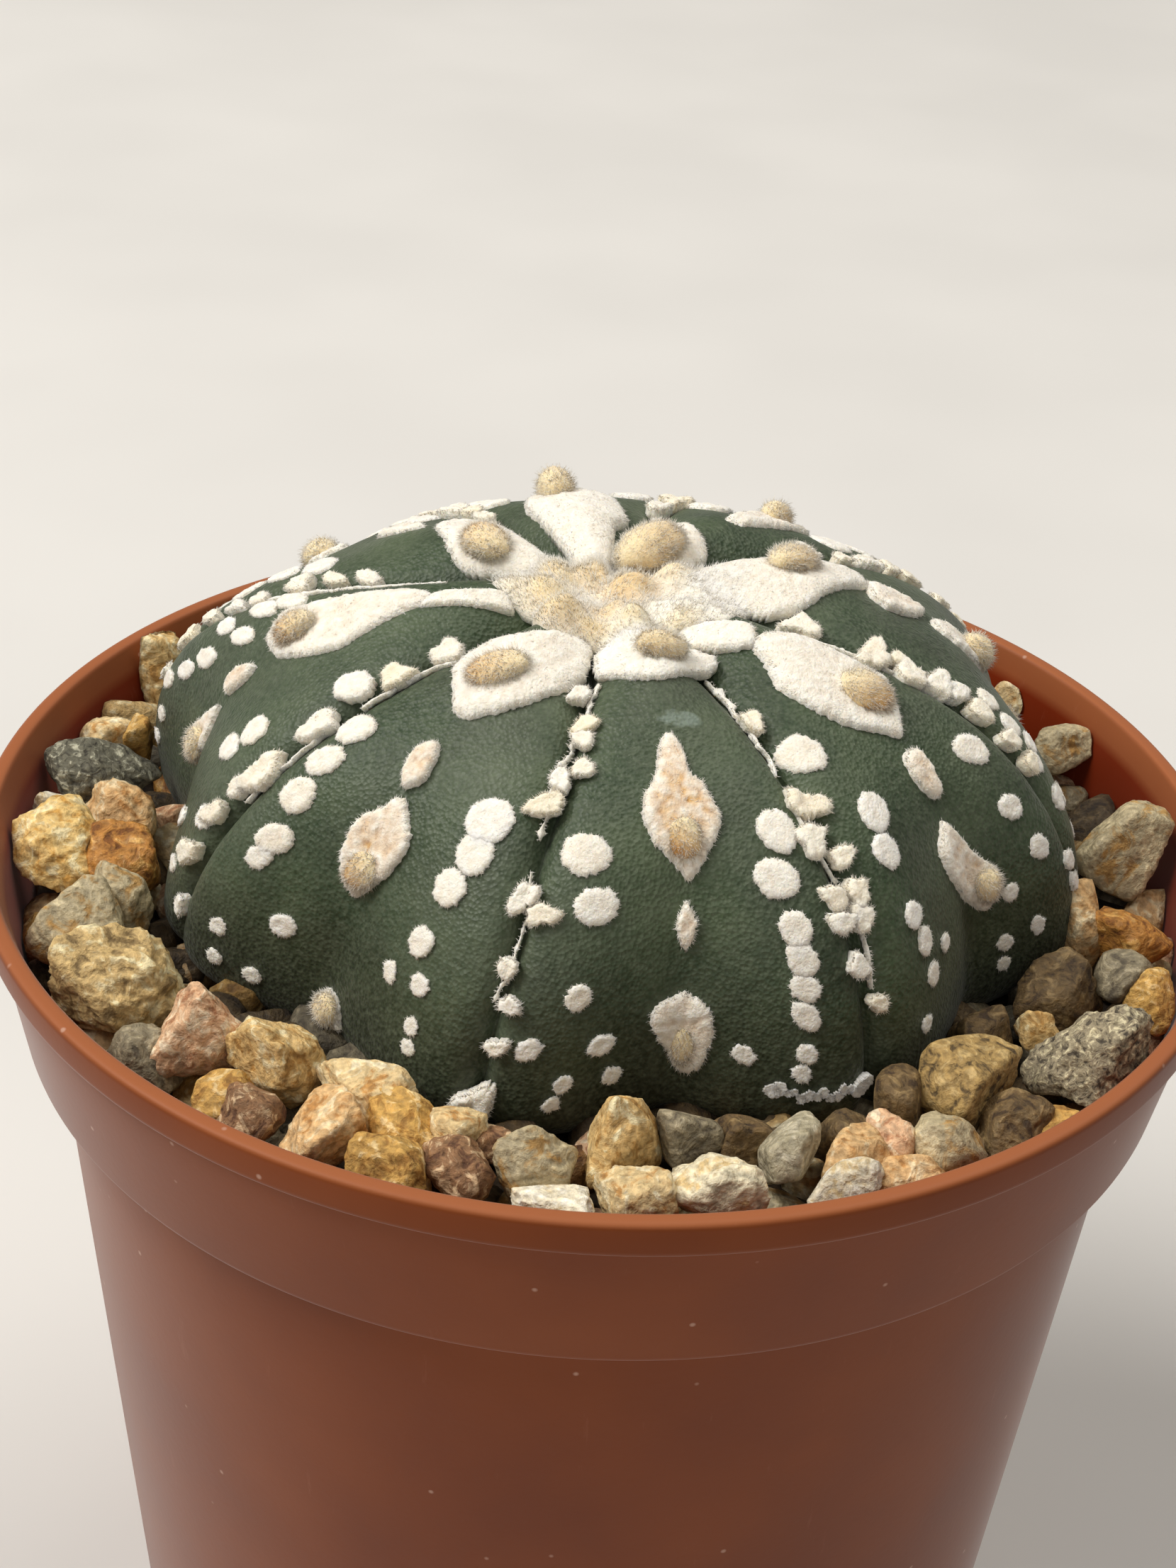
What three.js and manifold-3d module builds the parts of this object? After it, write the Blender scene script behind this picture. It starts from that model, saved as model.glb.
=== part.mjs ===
// A star cactus (eight flat ribs, white flecks, woolly areoles) in a round nursery pot with gravel.
// Millimetres, +Z up. The origin is the middle of the pot's underside, and the front of the plant
// faces -Y.
import * as THREE from "three";
import { mergeVertices } from "three/addons/utils/BufferGeometryUtils.js";
import Module from "manifold-3d";

const wasm = await Module();
wasm.setup();

// Driving dimensions of the pot
const POT_HEIGHT = 62;
const RIM_RADIUS = 35;
const WALL = 0.9;
const FOOT_RADIUS = 27.7;
const NECK_RADIUS = 31.4; // of the body, just under the collar
const COLLAR_HEIGHT = 10.4;
const COLLAR_RADIUS = 33.05; // at the collar's lower edge
const BEAD_HEIGHT = 1.9;
const FOOT_WIDTH = 5.2;
const BASE_RECESS = 1.2;
const DRAIN_RADIUS = 2.6;
const DRAIN_CIRCLE = 14;
const DRAIN_COUNT = 5;
const POT_SIDES = 60;

// Driving dimensions of the fill
const GAP = 0.35; // between pieces that touch on the real plant
const PLANT_GAP = 0.6; // between the plant's skin and the gravel; the flecks stand up inside it
const SOIL_TOP = 50.5;
const GRAVEL_TOP = 57.4;

// Driving dimensions of the plant
const PLANT_Y = 2.2; // the plant stands a little behind the pot's middle
const EQUATOR = 58.2; // height at which the dome is widest, close to the gravel
const CROWN = 75.1; // height of the dome's top
const RIB_LIFT = 1.0; // how far a rib's crest stands up near the crown
const CROWN_DIP = 0.9;
const CROWN_SHIFT = [-0.8, -1.0]; // the crown's middle lies a little off the plant's own middle
const VALLEY = 0.11; // how far the areole line sinks in at the equator, as a share of the reach
const GROOVE_DEPTH = 1.0;
const GROOVE_WIDTH = 0.9;
const FLECK_RISE = 0.35;
const FLECK_ROOT = 0.5;
const TUFT_RISE = 1.1; // of a lone areole's wool, less at the gravel

// Eight ribs go clockwise seen from above, from the right back one: 0 to 7. The fissure after each
// rib: its direction in degrees, its turn from the equator to the crown, and its reach.
const FISSURES = [
  { azimuth: 32, turn: 2, reach: 27.4 },
  { azimuth: -14, turn: -3, reach: 27.6 },
  { azimuth: -57, turn: -3, reach: 26.5 },
  { azimuth: -103, turn: 8, reach: 26.0 },
  { azimuth: -153, turn: 17, reach: 26.0 },
  { azimuth: -197, turn: 18, reach: 28.5 },
  { azimuth: -235, turn: 5, reach: 26.0 },
  { azimuth: -281, turn: 0, reach: 26.4 },
];
const CREST_SHIFT = [0.06, -0.14, -0.24, -0.02, 0.03, 0.26, -0.1, -0.12];
const RIBS = FISSURES.length;

// Flecks of each rib: across it (0 to 1, clockwise), down it (0 at the crown, 1 at the equator)
// and width. Ribs 1 to 5 are seen in the photograph, and the others follow a rule.
const FLECKS = {
  1: [
    [0.87, 0.59, 1.6], [0.9, 0.64, 1.6], [0.88, 0.69, 1.4], [0.93, 0.71, 1.2], [0.93, 0.78, 1.5],
    [0.85, 0.81, 1.3], [0.86, 0.87, 1.2], [0.86, 0.94, 1.1],
  ],
  2: [
    [0.9, 0.475, 2.5], [0.8, 0.605, 2.2], [0.83, 0.665, 1.9], [0.82, 0.77, 1.5], [0.8, 0.815, 1.5],
    [0.79, 0.87, 1.4], [0.7, 0.85, 1.1], [0.84, 0.93, 1.1], [0.22, 0.605, 2.2], [0.235, 0.72, 1.7],
    [0.19, 0.8, 1.6], [0.34, 0.855, 1.2], [0.06, 0.85, 1.3], [0.05, 0.89, 1.2], [0.37, 0.935, 1.2],
    [0.25, 0.925, 1.2], [0.37, 0.97, 1.0],
  ],
  3: [
    [0.16, 0.59, 2.3], [0.21, 0.665, 2.3], [0.185, 0.74, 1.9], [0.18, 0.785, 1.8],
    [0.18, 0.825, 1.6], [0.185, 0.865, 1.6], [0.185, 0.92, 1.2], [0.195, 0.95, 1.1],
    [0.335, 0.93, 1.3], [0.85, 0.62, 2.5], [0.79, 0.7, 2.2], [0.8, 0.83, 1.5], [0.72, 0.905, 1.4],
    [0.9, 0.9, 1.4], [0.8, 0.955, 1.1], [0.68, 0.955, 1.1], [0.82, 0.985, 1.0],
  ],
  4: [
    [0.19, 0.595, 2.6], [0.19, 0.65, 2.2], [0.22, 0.71, 2.0], [0.24, 0.8, 1.7], [0.3, 0.865, 1.2],
    [0.2, 0.855, 1.3], [0.19, 0.915, 1.1], [0.185, 0.945, 1.0], [0.87, 0.535, 2.2],
    [0.85, 0.605, 2.1], [0.83, 0.675, 2.2], [0.8, 0.755, 2.1], [0.81, 0.79, 1.6],
    [0.83, 0.925, 1.3], [0.665, 0.885, 1.6], [0.82, 0.98, 1.1], [0.71, 0.985, 1.2],
  ],
  5: [
    [0.08, 0.48, 2.2], [0.17, 0.65, 2.0], [0.2, 0.705, 1.9], [0.07, 0.8, 1.6], [0.2, 0.86, 1.3],
    [0.1, 0.91, 1.2], [0.72, 0.6, 1.8], [0.84, 0.62, 1.7], [0.85, 0.54, 2.0], [0.86, 0.49, 2.1],
    [0.74, 0.69, 1.8], [0.78, 0.745, 1.7], [0.85, 0.8, 1.5], [0.8, 0.87, 1.2], [0.82, 0.93, 1.1],
  ],
};
const RULED_RIBS = [0, 6, 7];

// Flecks in the fissure after a rib: down it, across it in millimetres and width
const FISSURE_FLECKS = {
  1: [
    [0.28, 0, 1.9], [0.395, 0.4, 1.9], [0.455, 0.3, 1.6], [0.43, -0.6, 1.0], [0.5, -0.2, 1.9],
    [0.53, -0.6, 1.4], [0.575, -0.5, 1.4], [0.64, -0.4, 1.3], [0.69, -0.4, 1.2],
  ],
  2: [
    [0.395, 0, 1.2], [0.555, 0.1, 1.6], [0.61, 0.8, 1.6], [0.645, -0.5, 1.2], [0.7, -0.6, 1.3],
    [0.7, 0.8, 1.3], [0.735, -0.4, 1.3], [0.735, 0.8, 1.3], [0.8, 0.5, 1.2], [0.86, -0.3, 1.0],
  ],
  3: [
    [0.325, 0.3, 1.1], [0.39, -0.4, 1.2], [0.42, -0.5, 1.1], [0.475, -0.9, 1.1], [0.5, 0.1, 1.2],
    [0.545, 0.4, 1.5], [0.69, 0.2, 1.4], [0.71, -1.0, 1.3], [0.79, 0, 1.0], [0.84, -0.6, 1.0],
    [0.9, -0.5, 1.0], [0.995, 0, 2.2],
  ],
  4: [
    [0.33, -0.2, 1.6], [0.42, 0, 1.6], [0.565, 0, 1.7], [0.68, 0, 2.0], [0.72, 0.6, 1.2],
    [0.78, 0.9, 1.4], [0.86, 1.0, 1.6], [0.94, -0.3, 1.1],
  ],
};

const HIDDEN_FISSURE_FLECKS = [[0.36, -0.2, 1.4], [0.48, 0.2, 1.6], [0.6, -0.3, 1.4], [0.74, 0.3, 1.5]];

// Areoles below the crown on each rib: where the white patch starts and ends down the rib, its half
// width, and where its tuft sits (0 for none)
const LONE_AREOLES = [
  [[0.44, 0.56, 0.6, 0], [0.6, 0.74, 1.3, 0.7], [0.86, 0.95, 1.0, 0.9]],
  [[0.42, 0.5, 0.8, 0], [0.52, 0.62, 0.6, 0.63], [0.72, 0.84, 1.3, 0.8]],
  [[0.53, 0.645, 0.65, 0], [0.69, 0.875, 1.5, 0.8]],
  [[0.41, 0.68, 1.85, 0.62], [0.7, 0.79, 0.65, 0], [0.835, 0.965, 1.4, 0.91]],
  [[0.5, 0.595, 0.7, 0], [0.6, 0.745, 1.65, 0.7], [0.93, 0.995, 1.1, 0.98]],
  [[0.575, 0.68, 0.65, 0], [0.71, 0.87, 1.3, 0.82]],
  [[0.4, 0.5, 0.7, 0], [0.53, 0.68, 1.4, 0.62], [0.8, 0.92, 1.2, 0.86]],
  [[0.42, 0.52, 0.7, 0], [0.6, 0.74, 1.5, 0.7], [0.86, 0.94, 1.1, 0.9]],
];

// Crown areoles, one a rib: how far the white patch reaches, its width as a share of the rib, the
// crest's place across it, and where the tuft sits with its width
const CROWN_AREOLES = [
  { reach: 0.31, share: 0.36, across: 0.42, tuft: 0.2, tuftWidth: 3.2 },
  { reach: 0.4, share: 0.26, across: 0.42, tuft: 0.27, tuftWidth: 2.8 },
  { reach: 0.52, share: 0.25, across: 0.56, tuft: 0.42, tuftWidth: 2.8 },
  { reach: 0.3, share: 0.46, across: 0.5, tuft: 0.21, tuftWidth: 2.4 },
  { reach: 0.43, share: 0.25, across: 0.47, tuft: 0.32, tuftWidth: 2.8 },
  { reach: 0.56, share: 0.2, across: 0.5, tuft: 0.49, tuftWidth: 2.6 },
  { reach: 0.33, share: 0.3, across: 0.52, tuft: 0.22, tuftWidth: 2.7 },
  { reach: 0.37, share: 0.32, across: 0.44, tuft: 0.34, tuftWidth: 2.6 },
];
const CROWN_HUB = 0.14; // wool covers the crown this far down, between the areoles too
const WOOL_SEAT = 0.6; // the wool's flat facets clear the round skin by this much
const WOOL_THICK = 0.6;

// Stones that the photograph shows, by x, y, z of the middle, then length, width, height and the
// turn of the length in degrees. Each of these is a piece of its own.
const LOOSE_STONES = {
  dark_slate: [-30.0, 3.2, 60.2, 7.0, 3.6, 3.4, -6],
  yellow_lump: [-30.6, -4.6, 59.8, 5.2, 4.6, 4.2, 10],
  yellow_conglomerate: [-24.8, -15.9, 59.6, 6.9, 5.8, 5.6, -20],
  pink_wedge: [-19.6, -20.2, 59.8, 5.4, 4.2, 5.6, 60],
  cream_slab: [-11.0, -23.3, 59.4, 6.4, 3.2, 3.4, -28],
  ochre_pyramid: [1.6, -26.1, 59.7, 4.6, 3.8, 5.0, 20],
  cream_quartz: [6.0, -29.3, 59.4, 5.8, 3.1, 3.8, -6],
  grey_quartz: [9.7, -26.0, 59.3, 3.9, 3.4, 3.9, 40],
  brown_pebble: [19.0, -19.9, 59.6, 5.7, 4.4, 4.4, 40],
  speckled_granite: [25.2, -16.9, 59.9, 6.0, 5.3, 5.2, 50],
  grey_ochre: [30.1, 2.4, 60.0, 5.6, 5.0, 5.4, 70],
  amber_quartz: [29.4, -6.0, 59.3, 4.4, 3.8, 3.6, -30],
};

// Stones fused to the bed, with x, y and mean width
const BED_STONES = [
  [-28.1, -11.0, 5.0], [-15.6, -21.0, 4.6], [-9.0, -26.0, 4.0], [-13.1, -26.5, 4.2],
  [-16.5, -25.7, 3.4], [-17.8, -24.0, 3.0], [-22.6, -21.5, 3.8], [-9.3, -28.6, 4.0],
  [-6.2, -28.6, 3.6], [-6.4, -26.2, 3.0], [-2.4, -27.9, 4.2], [-1.5, -30.6, 3.4],
  [4.9, -25.0, 3.4], [7.8, -24.4, 3.2], [2.2, -30.0, 3.8], [12.6, -24.4, 3.4],
  [12.9, -26.0, 3.0], [14.7, -24.9, 3.0], [17.3, -24.7, 3.6], [12.3, -28.2, 3.4],
  [15.6, -26.8, 3.6], [15.4, -21.2, 3.4], [20.7, -22.8, 3.8], [22.3, -23.0, 2.8],
  [20.3, -14.4, 3.8], [24.4, -11.2, 4.4], [28.3, -10.0, 3.6], [29.8, -11.2, 3.4],
  [26.6, -5.6, 3.0], [28.4, 14.6, 4.0], [26.4, 22.3, 3.2], [-28.1, 0.2, 4.4],
  [-27.0, -4.6, 4.4], [-32.0, 1.0, 2.8], [-30.6, 8.6, 3.2], [-28.4, 8.2, 2.8],
  [-28.6, 16.6, 5.0], [-26.6, -8.0, 4.0],
];
const STONE_SEED = 4021;
const STONE_TRIES = 900;
const SMALLEST_STONE = 2.6;
const LARGEST_STONE = 4.8;
const RING_INNER = 23;
const RING_OUTER = 32;

// Numbers from 0 to 1 that repeat in the same order each time
function seeded(seed) {
  let state = seed;
  return () => {
    state = (state * 16807) % 2147483647;
    return state / 2147483647;
  };
}

// Solids

const SAME_POINT = 1e-3; // points closer than this are one

function positionsOnly(geometry) {
  geometry.deleteAttribute("normal");
  geometry.deleteAttribute("uv");
  return mergeVertices(geometry, SAME_POINT);
}

function solid(geometry) {
  const bare = positionsOnly(geometry);
  const mesh = new wasm.Mesh({
    numProp: 3,
    vertProperties: new Float32Array(bare.attributes.position.array),
    triVerts: new Uint32Array(bare.index.array),
  });
  return new wasm.Manifold(mesh);
}

function geometryOf(manifold) {
  const mesh = manifold.getMesh();
  const geometry = new THREE.BufferGeometry();
  geometry.setAttribute("position", new THREE.BufferAttribute(mesh.vertProperties.slice(), 3));
  geometry.setIndex(new THREE.BufferAttribute(mesh.triVerts.slice(), 1));
  return geometry;
}

// A round solid from [radius, height] points, which go up the outside and back down the inside
function turned(points, sides) {
  const profile = points.map(([radius, height]) => new THREE.Vector2(radius, height));
  const geometry = new THREE.LatheGeometry(profile, sides);
  geometry.rotateX(Math.PI / 2);
  return solid(geometry);
}

// A closed skin from rings of points, each ring anticlockwise seen from its top end; a ring of one
// point is a tip
function ringSolid(rings) {
  const points = rings.flat();
  const starts = rings.map((_, i) => rings.slice(0, i).reduce((sum, ring) => sum + ring.length, 0));
  const index = [];
  for (let i = 0; i < rings.length - 1; i += 1) {
    const upper = rings[i].length;
    const lower = rings[i + 1].length;
    const count = Math.max(upper, lower);
    for (let j = 0; j < count; j += 1) {
      const next = (j + 1) % count;
      const a = starts[i] + (j % upper);
      const b = starts[i] + (next % upper);
      const c = starts[i + 1] + (j % lower);
      const d = starts[i + 1] + (next % lower);
      if (upper > 1) index.push(a, c, b);
      if (lower > 1) index.push(b, c, d);
    }
  }
  const geometry = new THREE.BufferGeometry();
  const flat = new Float32Array(points.flatMap((point) => [point.x, point.y, point.z]));
  geometry.setAttribute("position", new THREE.BufferAttribute(flat, 3));
  geometry.setIndex(index);
  return solid(geometry);
}

// The largest body of a solid: hollows that joining has sealed are filled and loose scraps dropped
function mainBody(whole) {
  let main = whole;
  for (let pass = 0; pass < 3; pass += 1) {
    const bodies = solid(geometryOf(main)).decompose();
    main = bodies.reduce((best, body) => (body.volume() > best.volume() ? body : best));
  }
  return main;
}

// The plant's skin

const UP = new THREE.Vector3(0, 0, 1);
const radians = THREE.MathUtils.degToRad;
const lastRib = (rib) => (rib + RIBS - 1) % RIBS;

// Direction of a line down the plant; down is 0 at the crown and 1 at the equator
function azimuthAt(rib, across, down) {
  const before = FISSURES[lastRib(rib)];
  const after = FISSURES[rib];
  const upward = 1 - down ** 1.5;
  const from = before.azimuth + before.turn * upward + (rib === 0 ? 360 : 0);
  const to = after.azimuth + after.turn * upward;
  const shifted = across + CREST_SHIFT[rib] * across * (1 - across);
  return radians(from + (to - from) * shifted);
}

// A point of the skin, moved out by lift. Across may pass 0 or 1 a little.
function skinPoint(rib, across, down, lift = 0) {
  const wrapped = THREE.MathUtils.euclideanModulo(across, 1);
  const ribNow = (rib + Math.round(across - wrapped) + RIBS) % RIBS;
  const turn = (Math.PI / 2) * Math.min(down, 1) ** 1.5;
  const out = Math.sin(turn) ** (2 / 3);
  const ease = 0.5 - 0.5 * Math.cos(Math.PI * wrapped);
  const before = FISSURES[lastRib(ribNow)].reach;
  const reach = before + (FISSURES[ribNow].reach - before) * ease;
  const middle = Math.sin(Math.PI * wrapped) ** 2;
  const sunk = VALLEY * Math.max(0, (out - 0.35) / 0.65) ** 1.5 * middle;
  const aside = reach * out * (Math.PI / RIBS) * 2 * Math.min(wrapped, 1 - wrapped);
  const groove = GROOVE_DEPTH * Math.exp(-((aside / GROOVE_WIDTH) ** 2)) * Math.min(1, out * 4);
  const crest = RIB_LIFT * Math.sin(Math.PI * Math.min(1, out / 0.6)) * middle;
  const dip = CROWN_DIP * Math.exp(-((out / 0.16) ** 2));
  const radius = reach * out * (1 - sunk) + (lift - groove) * out;
  const height = (CROWN - EQUATOR) * Math.cos(turn) + crest - dip;
  const azimuth = azimuthAt(ribNow, wrapped, Math.min(down, 1));
  const drift = (1 - out) ** 2;
  return new THREE.Vector3(
    radius * Math.cos(azimuth) + CROWN_SHIFT[0] * drift,
    PLANT_Y + radius * Math.sin(azimuth) + CROWN_SHIFT[1] * drift,
    EQUATOR + height + (lift - groove) * Math.cos(turn),
  );
}

// The skin's point with its outward normal and the directions down and across it
function skinFrame(rib, across, down) {
  const step = 0.01;
  const at = skinPoint(rib, across, down);
  const lower = skinPoint(rib, across, down + step / 2).sub(skinPoint(rib, across, down - step));
  const side = skinPoint(rib, across + step, down).sub(skinPoint(rib, across - step, down));
  const downward = lower.normalize();
  const normal = side.cross(downward).normalize();
  return { at, normal, downward, sideways: downward.clone().cross(normal).normalize() };
}

const SKIN_ACROSS = [0, 0.04, 0.14, 0.32, 0.5, 0.68, 0.86, 0.96];
const SKIN_ROWS = 12;
const SKIN_SKIRT = 4; // the lobes go this far below the equator before the root's cone

function skinRing(down, lift, acrosses = SKIN_ACROSS) {
  const ring = [];
  for (let rib = RIBS - 1; rib >= 0; rib -= 1) {
    for (const across of [...acrosses].reverse()) {
      ring.push(skinPoint(rib, across, down, lift));
    }
  }
  return ring;
}

// The dome with its skirt, grown by lift all round
function domeSolid(lift = 0) {
  const rings = [[skinPoint(0, 0.5, 0, lift)]];
  for (let row = 1; row <= SKIN_ROWS; row += 1) rings.push(skinRing(row / SKIN_ROWS, lift));
  const skirt = skinRing(1, lift).map(
    (point) => new THREE.Vector3(point.x * 0.96, PLANT_Y + (point.y - PLANT_Y) * 0.96, point.z),
  );
  rings.push(skirt.map((point) => new THREE.Vector3(point.x, point.y, EQUATOR - SKIN_SKIRT - lift)));
  rings.push([new THREE.Vector3(0, PLANT_Y, EQUATOR - SKIN_SKIRT - lift)]);
  return ringSolid(rings);
}

const ROOT_SIDES = 28;

// The round underside and the taproot, which stand in the fill
function rootSolid(grow = 0) {
  const profile = [
    [0, 20 - grow], [1.4 + grow, 21 - grow], [3.0 + grow, 32], [4.4 + grow, 44 - grow],
    [8 + grow, 46 - grow], [18 + grow, 50 - grow], [22.4 + grow, 55], [22.4 + grow, 56], [0, 56],
  ];
  return turned(profile, ROOT_SIDES).translate([0, PLANT_Y, 0]);
}

// Flecks, patches and tufts

const FLECK_SIDES = 5;
const FLECK_TIP = 1.3; // height of a fleck's middle, as a share of its edge's rise
const FLECK_TOP_RADIUS = 0.36; // as a share of the fleck's width
const FLECK_FOOT_RADIUS = 0.52;
const SMALL_FLECK = 1.45; // narrower ones are plain points with four sides
const POINT_SIDES = 4;
const POINT_FOOT_RADIUS = 0.75; // where the point meets the skin it is as wide as the fleck

// A flat-topped fleck whose foot is sunk in the skin
function fleckSolid(rib, across, down, width, rise = FLECK_RISE, aside = 0) {
  const { at, normal, downward, sideways } = skinFrame(rib, across, down);
  const middle = at.clone().addScaledVector(sideways, aside);
  const small = width < SMALL_FLECK;
  const sides = small ? POINT_SIDES : FLECK_SIDES;
  const ring = (radius, height) => {
    const points = [];
    for (let i = 0; i < sides; i += 1) {
      const angle = (2 * Math.PI * (i + 0.3)) / sides;
      const point = middle.clone().addScaledVector(normal, height);
      point.addScaledVector(downward, radius * Math.cos(angle));
      point.addScaledVector(sideways, -radius * Math.sin(angle));
      points.push(point);
    }
    return points;
  };
  const top = middle.clone().addScaledVector(normal, rise * FLECK_TIP);
  const foot = ring(width * (small ? POINT_FOOT_RADIUS : FLECK_FOOT_RADIUS), -FLECK_ROOT);
  const rings = small ? [[top], foot] : [[top], ring(width * FLECK_TOP_RADIUS, rise), foot];
  return ringSolid([...rings, [middle.clone().addScaledVector(normal, -FLECK_ROOT - 0.2)]]);
}

const PATCH_LINE = 0.513; // beside the skin's own edge along the crest, which it mustn't meet
const PATCH_STEPS = 4;
const PATCH_RISE = 0.56;

// A pointed patch along a rib's crest, sunk at its edges
function patchSolid(rib, [start, end, halfWidth]) {
  const tip = (down) => {
    const { at, normal } = skinFrame(rib, PATCH_LINE, down);
    return at.addScaledVector(normal, -0.1);
  };
  const rings = [[tip(start)]];
  for (let i = 1; i < PATCH_STEPS; i += 1) {
    const share = i / PATCH_STEPS;
    const down = start + (end - start) * share;
    const { at, normal, sideways } = skinFrame(rib, PATCH_LINE, down);
    const half = halfWidth * Math.sin(Math.PI * share) ** 0.7;
    const low = at.clone().addScaledVector(normal, -FLECK_ROOT);
    const side = (sign) => low.clone().addScaledVector(sideways, sign * half);
    rings.push([side(1), at.clone().addScaledVector(normal, PATCH_RISE), side(-1), low]);
  }
  rings.push([tip(end)]);
  return ringSolid(rings);
}

// Fleck places of the ribs that follow the rule: two rows that get smaller down the rib
function ruledFlecks(rib) {
  const random = seeded(100 + rib);
  const flecks = [];
  for (const row of [0.18, 0.82]) {
    for (let down = 0.46 + 0.03 * random(); down < 0.95; down += 0.072 + 0.025 * random()) {
      flecks.push([row + 0.06 * (random() - 0.5), down, 3.5 - 2.4 * down + 0.3 * random()]);
    }
  }
  return flecks;
}

function allFlecks() {
  const solids = [];
  for (let rib = 0; rib < RIBS; rib += 1) {
    const flecks = RULED_RIBS.includes(rib) ? ruledFlecks(rib) : FLECKS[rib];
    for (const [across, down, width] of flecks) solids.push(fleckSolid(rib, across, down, width));
    for (const [down, aside, width] of FISSURE_FLECKS[rib] ?? HIDDEN_FISSURE_FLECKS) {
      solids.push(fleckSolid(rib, 1, down, width, FLECK_RISE + GROOVE_DEPTH, aside + 0.07));
    }
    for (const areole of LONE_AREOLES[rib]) {
      const [, , halfWidth, tuft] = areole;
      const rise = TUFT_RISE * Math.min(1, 12 * (1 - tuft));
      solids.push(patchSolid(rib, areole));
      if (tuft > 0) solids.push(fleckSolid(rib, PATCH_LINE, tuft, halfWidth * 1.2, rise));
    }
  }
  return solids;
}

// The crown's wool: a star that lies on the skin, with a point down each rib

const WOOL_OFFSETS = [-1, -0.8, -0.5, 0, 0.5, 0.8, 1]; // from the crest, as shares of the width
const WOOL_ROWS = 3;

function woolColumns(rib) {
  const { reach, share, across } = CROWN_AREOLES[rib];
  const columns = WOOL_OFFSETS.map((offset) => ({
    across: across + offset * share,
    reach: CROWN_HUB + (reach - CROWN_HUB) * (1 - offset ** 2),
  }));
  return [{ across: 0, reach: CROWN_HUB }, ...columns];
}

function woolRing(share, lift) {
  const ring = [];
  for (let rib = RIBS - 1; rib >= 0; rib -= 1) {
    for (const { across, reach } of woolColumns(rib).reverse()) {
      ring.push(skinPoint(rib, across, reach * share, lift));
    }
  }
  return ring;
}

function crownWool() {
  const rings = [[skinPoint(0, 0.5, 0, WOOL_SEAT + WOOL_THICK * 1.8)]];
  for (let row = 1; row <= WOOL_ROWS; row += 1) {
    const share = row / WOOL_ROWS;
    rings.push(woolRing(share, WOOL_SEAT + WOOL_THICK * (1 - 0.45 * share ** 4)));
  }
  for (let row = WOOL_ROWS; row >= 1; row -= 1) rings.push(woolRing(row / WOOL_ROWS, WOOL_SEAT));
  rings.push([skinPoint(0, 0.5, 0, WOOL_SEAT)]);
  let wool = ringSolid(rings);
  CROWN_AREOLES.forEach(({ across, tuft, tuftWidth }, rib) => {
    const { at, normal } = skinFrame(rib, across, tuft);
    const middle = at.clone().addScaledVector(normal, WOOL_SEAT + tuftWidth * 0.45);
    const blob = new THREE.IcosahedronGeometry(tuftWidth / 2, 0).scale(1, 1, 0.8);
    blob.applyQuaternion(new THREE.Quaternion().setFromUnitVectors(UP, normal));
    blob.translate(middle.x, middle.y, middle.z);
    wool = wool.add(solid(blob));
  });
  return wool;
}

// The pot and what fills it

const bodyRadius = (height) =>
  FOOT_RADIUS + ((NECK_RADIUS - FOOT_RADIUS) * height) / (POT_HEIGHT - COLLAR_HEIGHT);
const FILL_SIDES = 48;
const collarFoot = POT_HEIGHT - COLLAR_HEIGHT;
const collarTop = RIM_RADIUS - 0.65; // the collar's radius just under the bead
const innerFloor = BASE_RECESS + 1;

function pot() {
  const bead = POT_HEIGHT - BEAD_HEIGHT;
  const profile = [
    [0, BASE_RECESS], [FOOT_RADIUS - FOOT_WIDTH - 1, BASE_RECESS], [FOOT_RADIUS - FOOT_WIDTH, 0],
    [FOOT_RADIUS - 0.5, 0], [FOOT_RADIUS, 0.5],
    [NECK_RADIUS, collarFoot - 0.3], [NECK_RADIUS + 0.3, collarFoot],
    [COLLAR_RADIUS - 0.3, collarFoot], [COLLAR_RADIUS, collarFoot + 0.4],
    [collarTop, bead - 0.4], [RIM_RADIUS - 0.35, bead], [RIM_RADIUS, bead + 0.6],
    [RIM_RADIUS, POT_HEIGHT - 0.4], [RIM_RADIUS - 0.35, POT_HEIGHT],
    [RIM_RADIUS - WALL + 0.1, POT_HEIGHT], [RIM_RADIUS - WALL - 0.15, POT_HEIGHT - 0.3],
    [collarTop - WALL, bead], [COLLAR_RADIUS - WALL, collarFoot + 1],
    [NECK_RADIUS - WALL, collarFoot - 1], [bodyRadius(innerFloor) - WALL, innerFloor],
    [0, innerFloor],
  ];
  let shell = turned(profile, POT_SIDES);
  for (let i = 0; i < DRAIN_COUNT; i += 1) {
    const angle = (2 * Math.PI * (i + 0.25)) / DRAIN_COUNT;
    const drill = new THREE.CylinderGeometry(DRAIN_RADIUS, DRAIN_RADIUS, 6, 16);
    drill.rotateX(Math.PI / 2);
    drill.translate(DRAIN_CIRCLE * Math.cos(angle), DRAIN_CIRCLE * Math.sin(angle), 2);
    shell = shell.subtract(solid(drill));
  }
  return shell;
}

function soil() {
  const low = innerFloor + GAP;
  const profile = [
    [0, low], [bodyRadius(low) - WALL - GAP, low], [NECK_RADIUS - WALL - GAP, SOIL_TOP],
    [0, SOIL_TOP],
  ];
  return turned(profile, FILL_SIDES).subtract(rootSolid(GAP));
}

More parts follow.
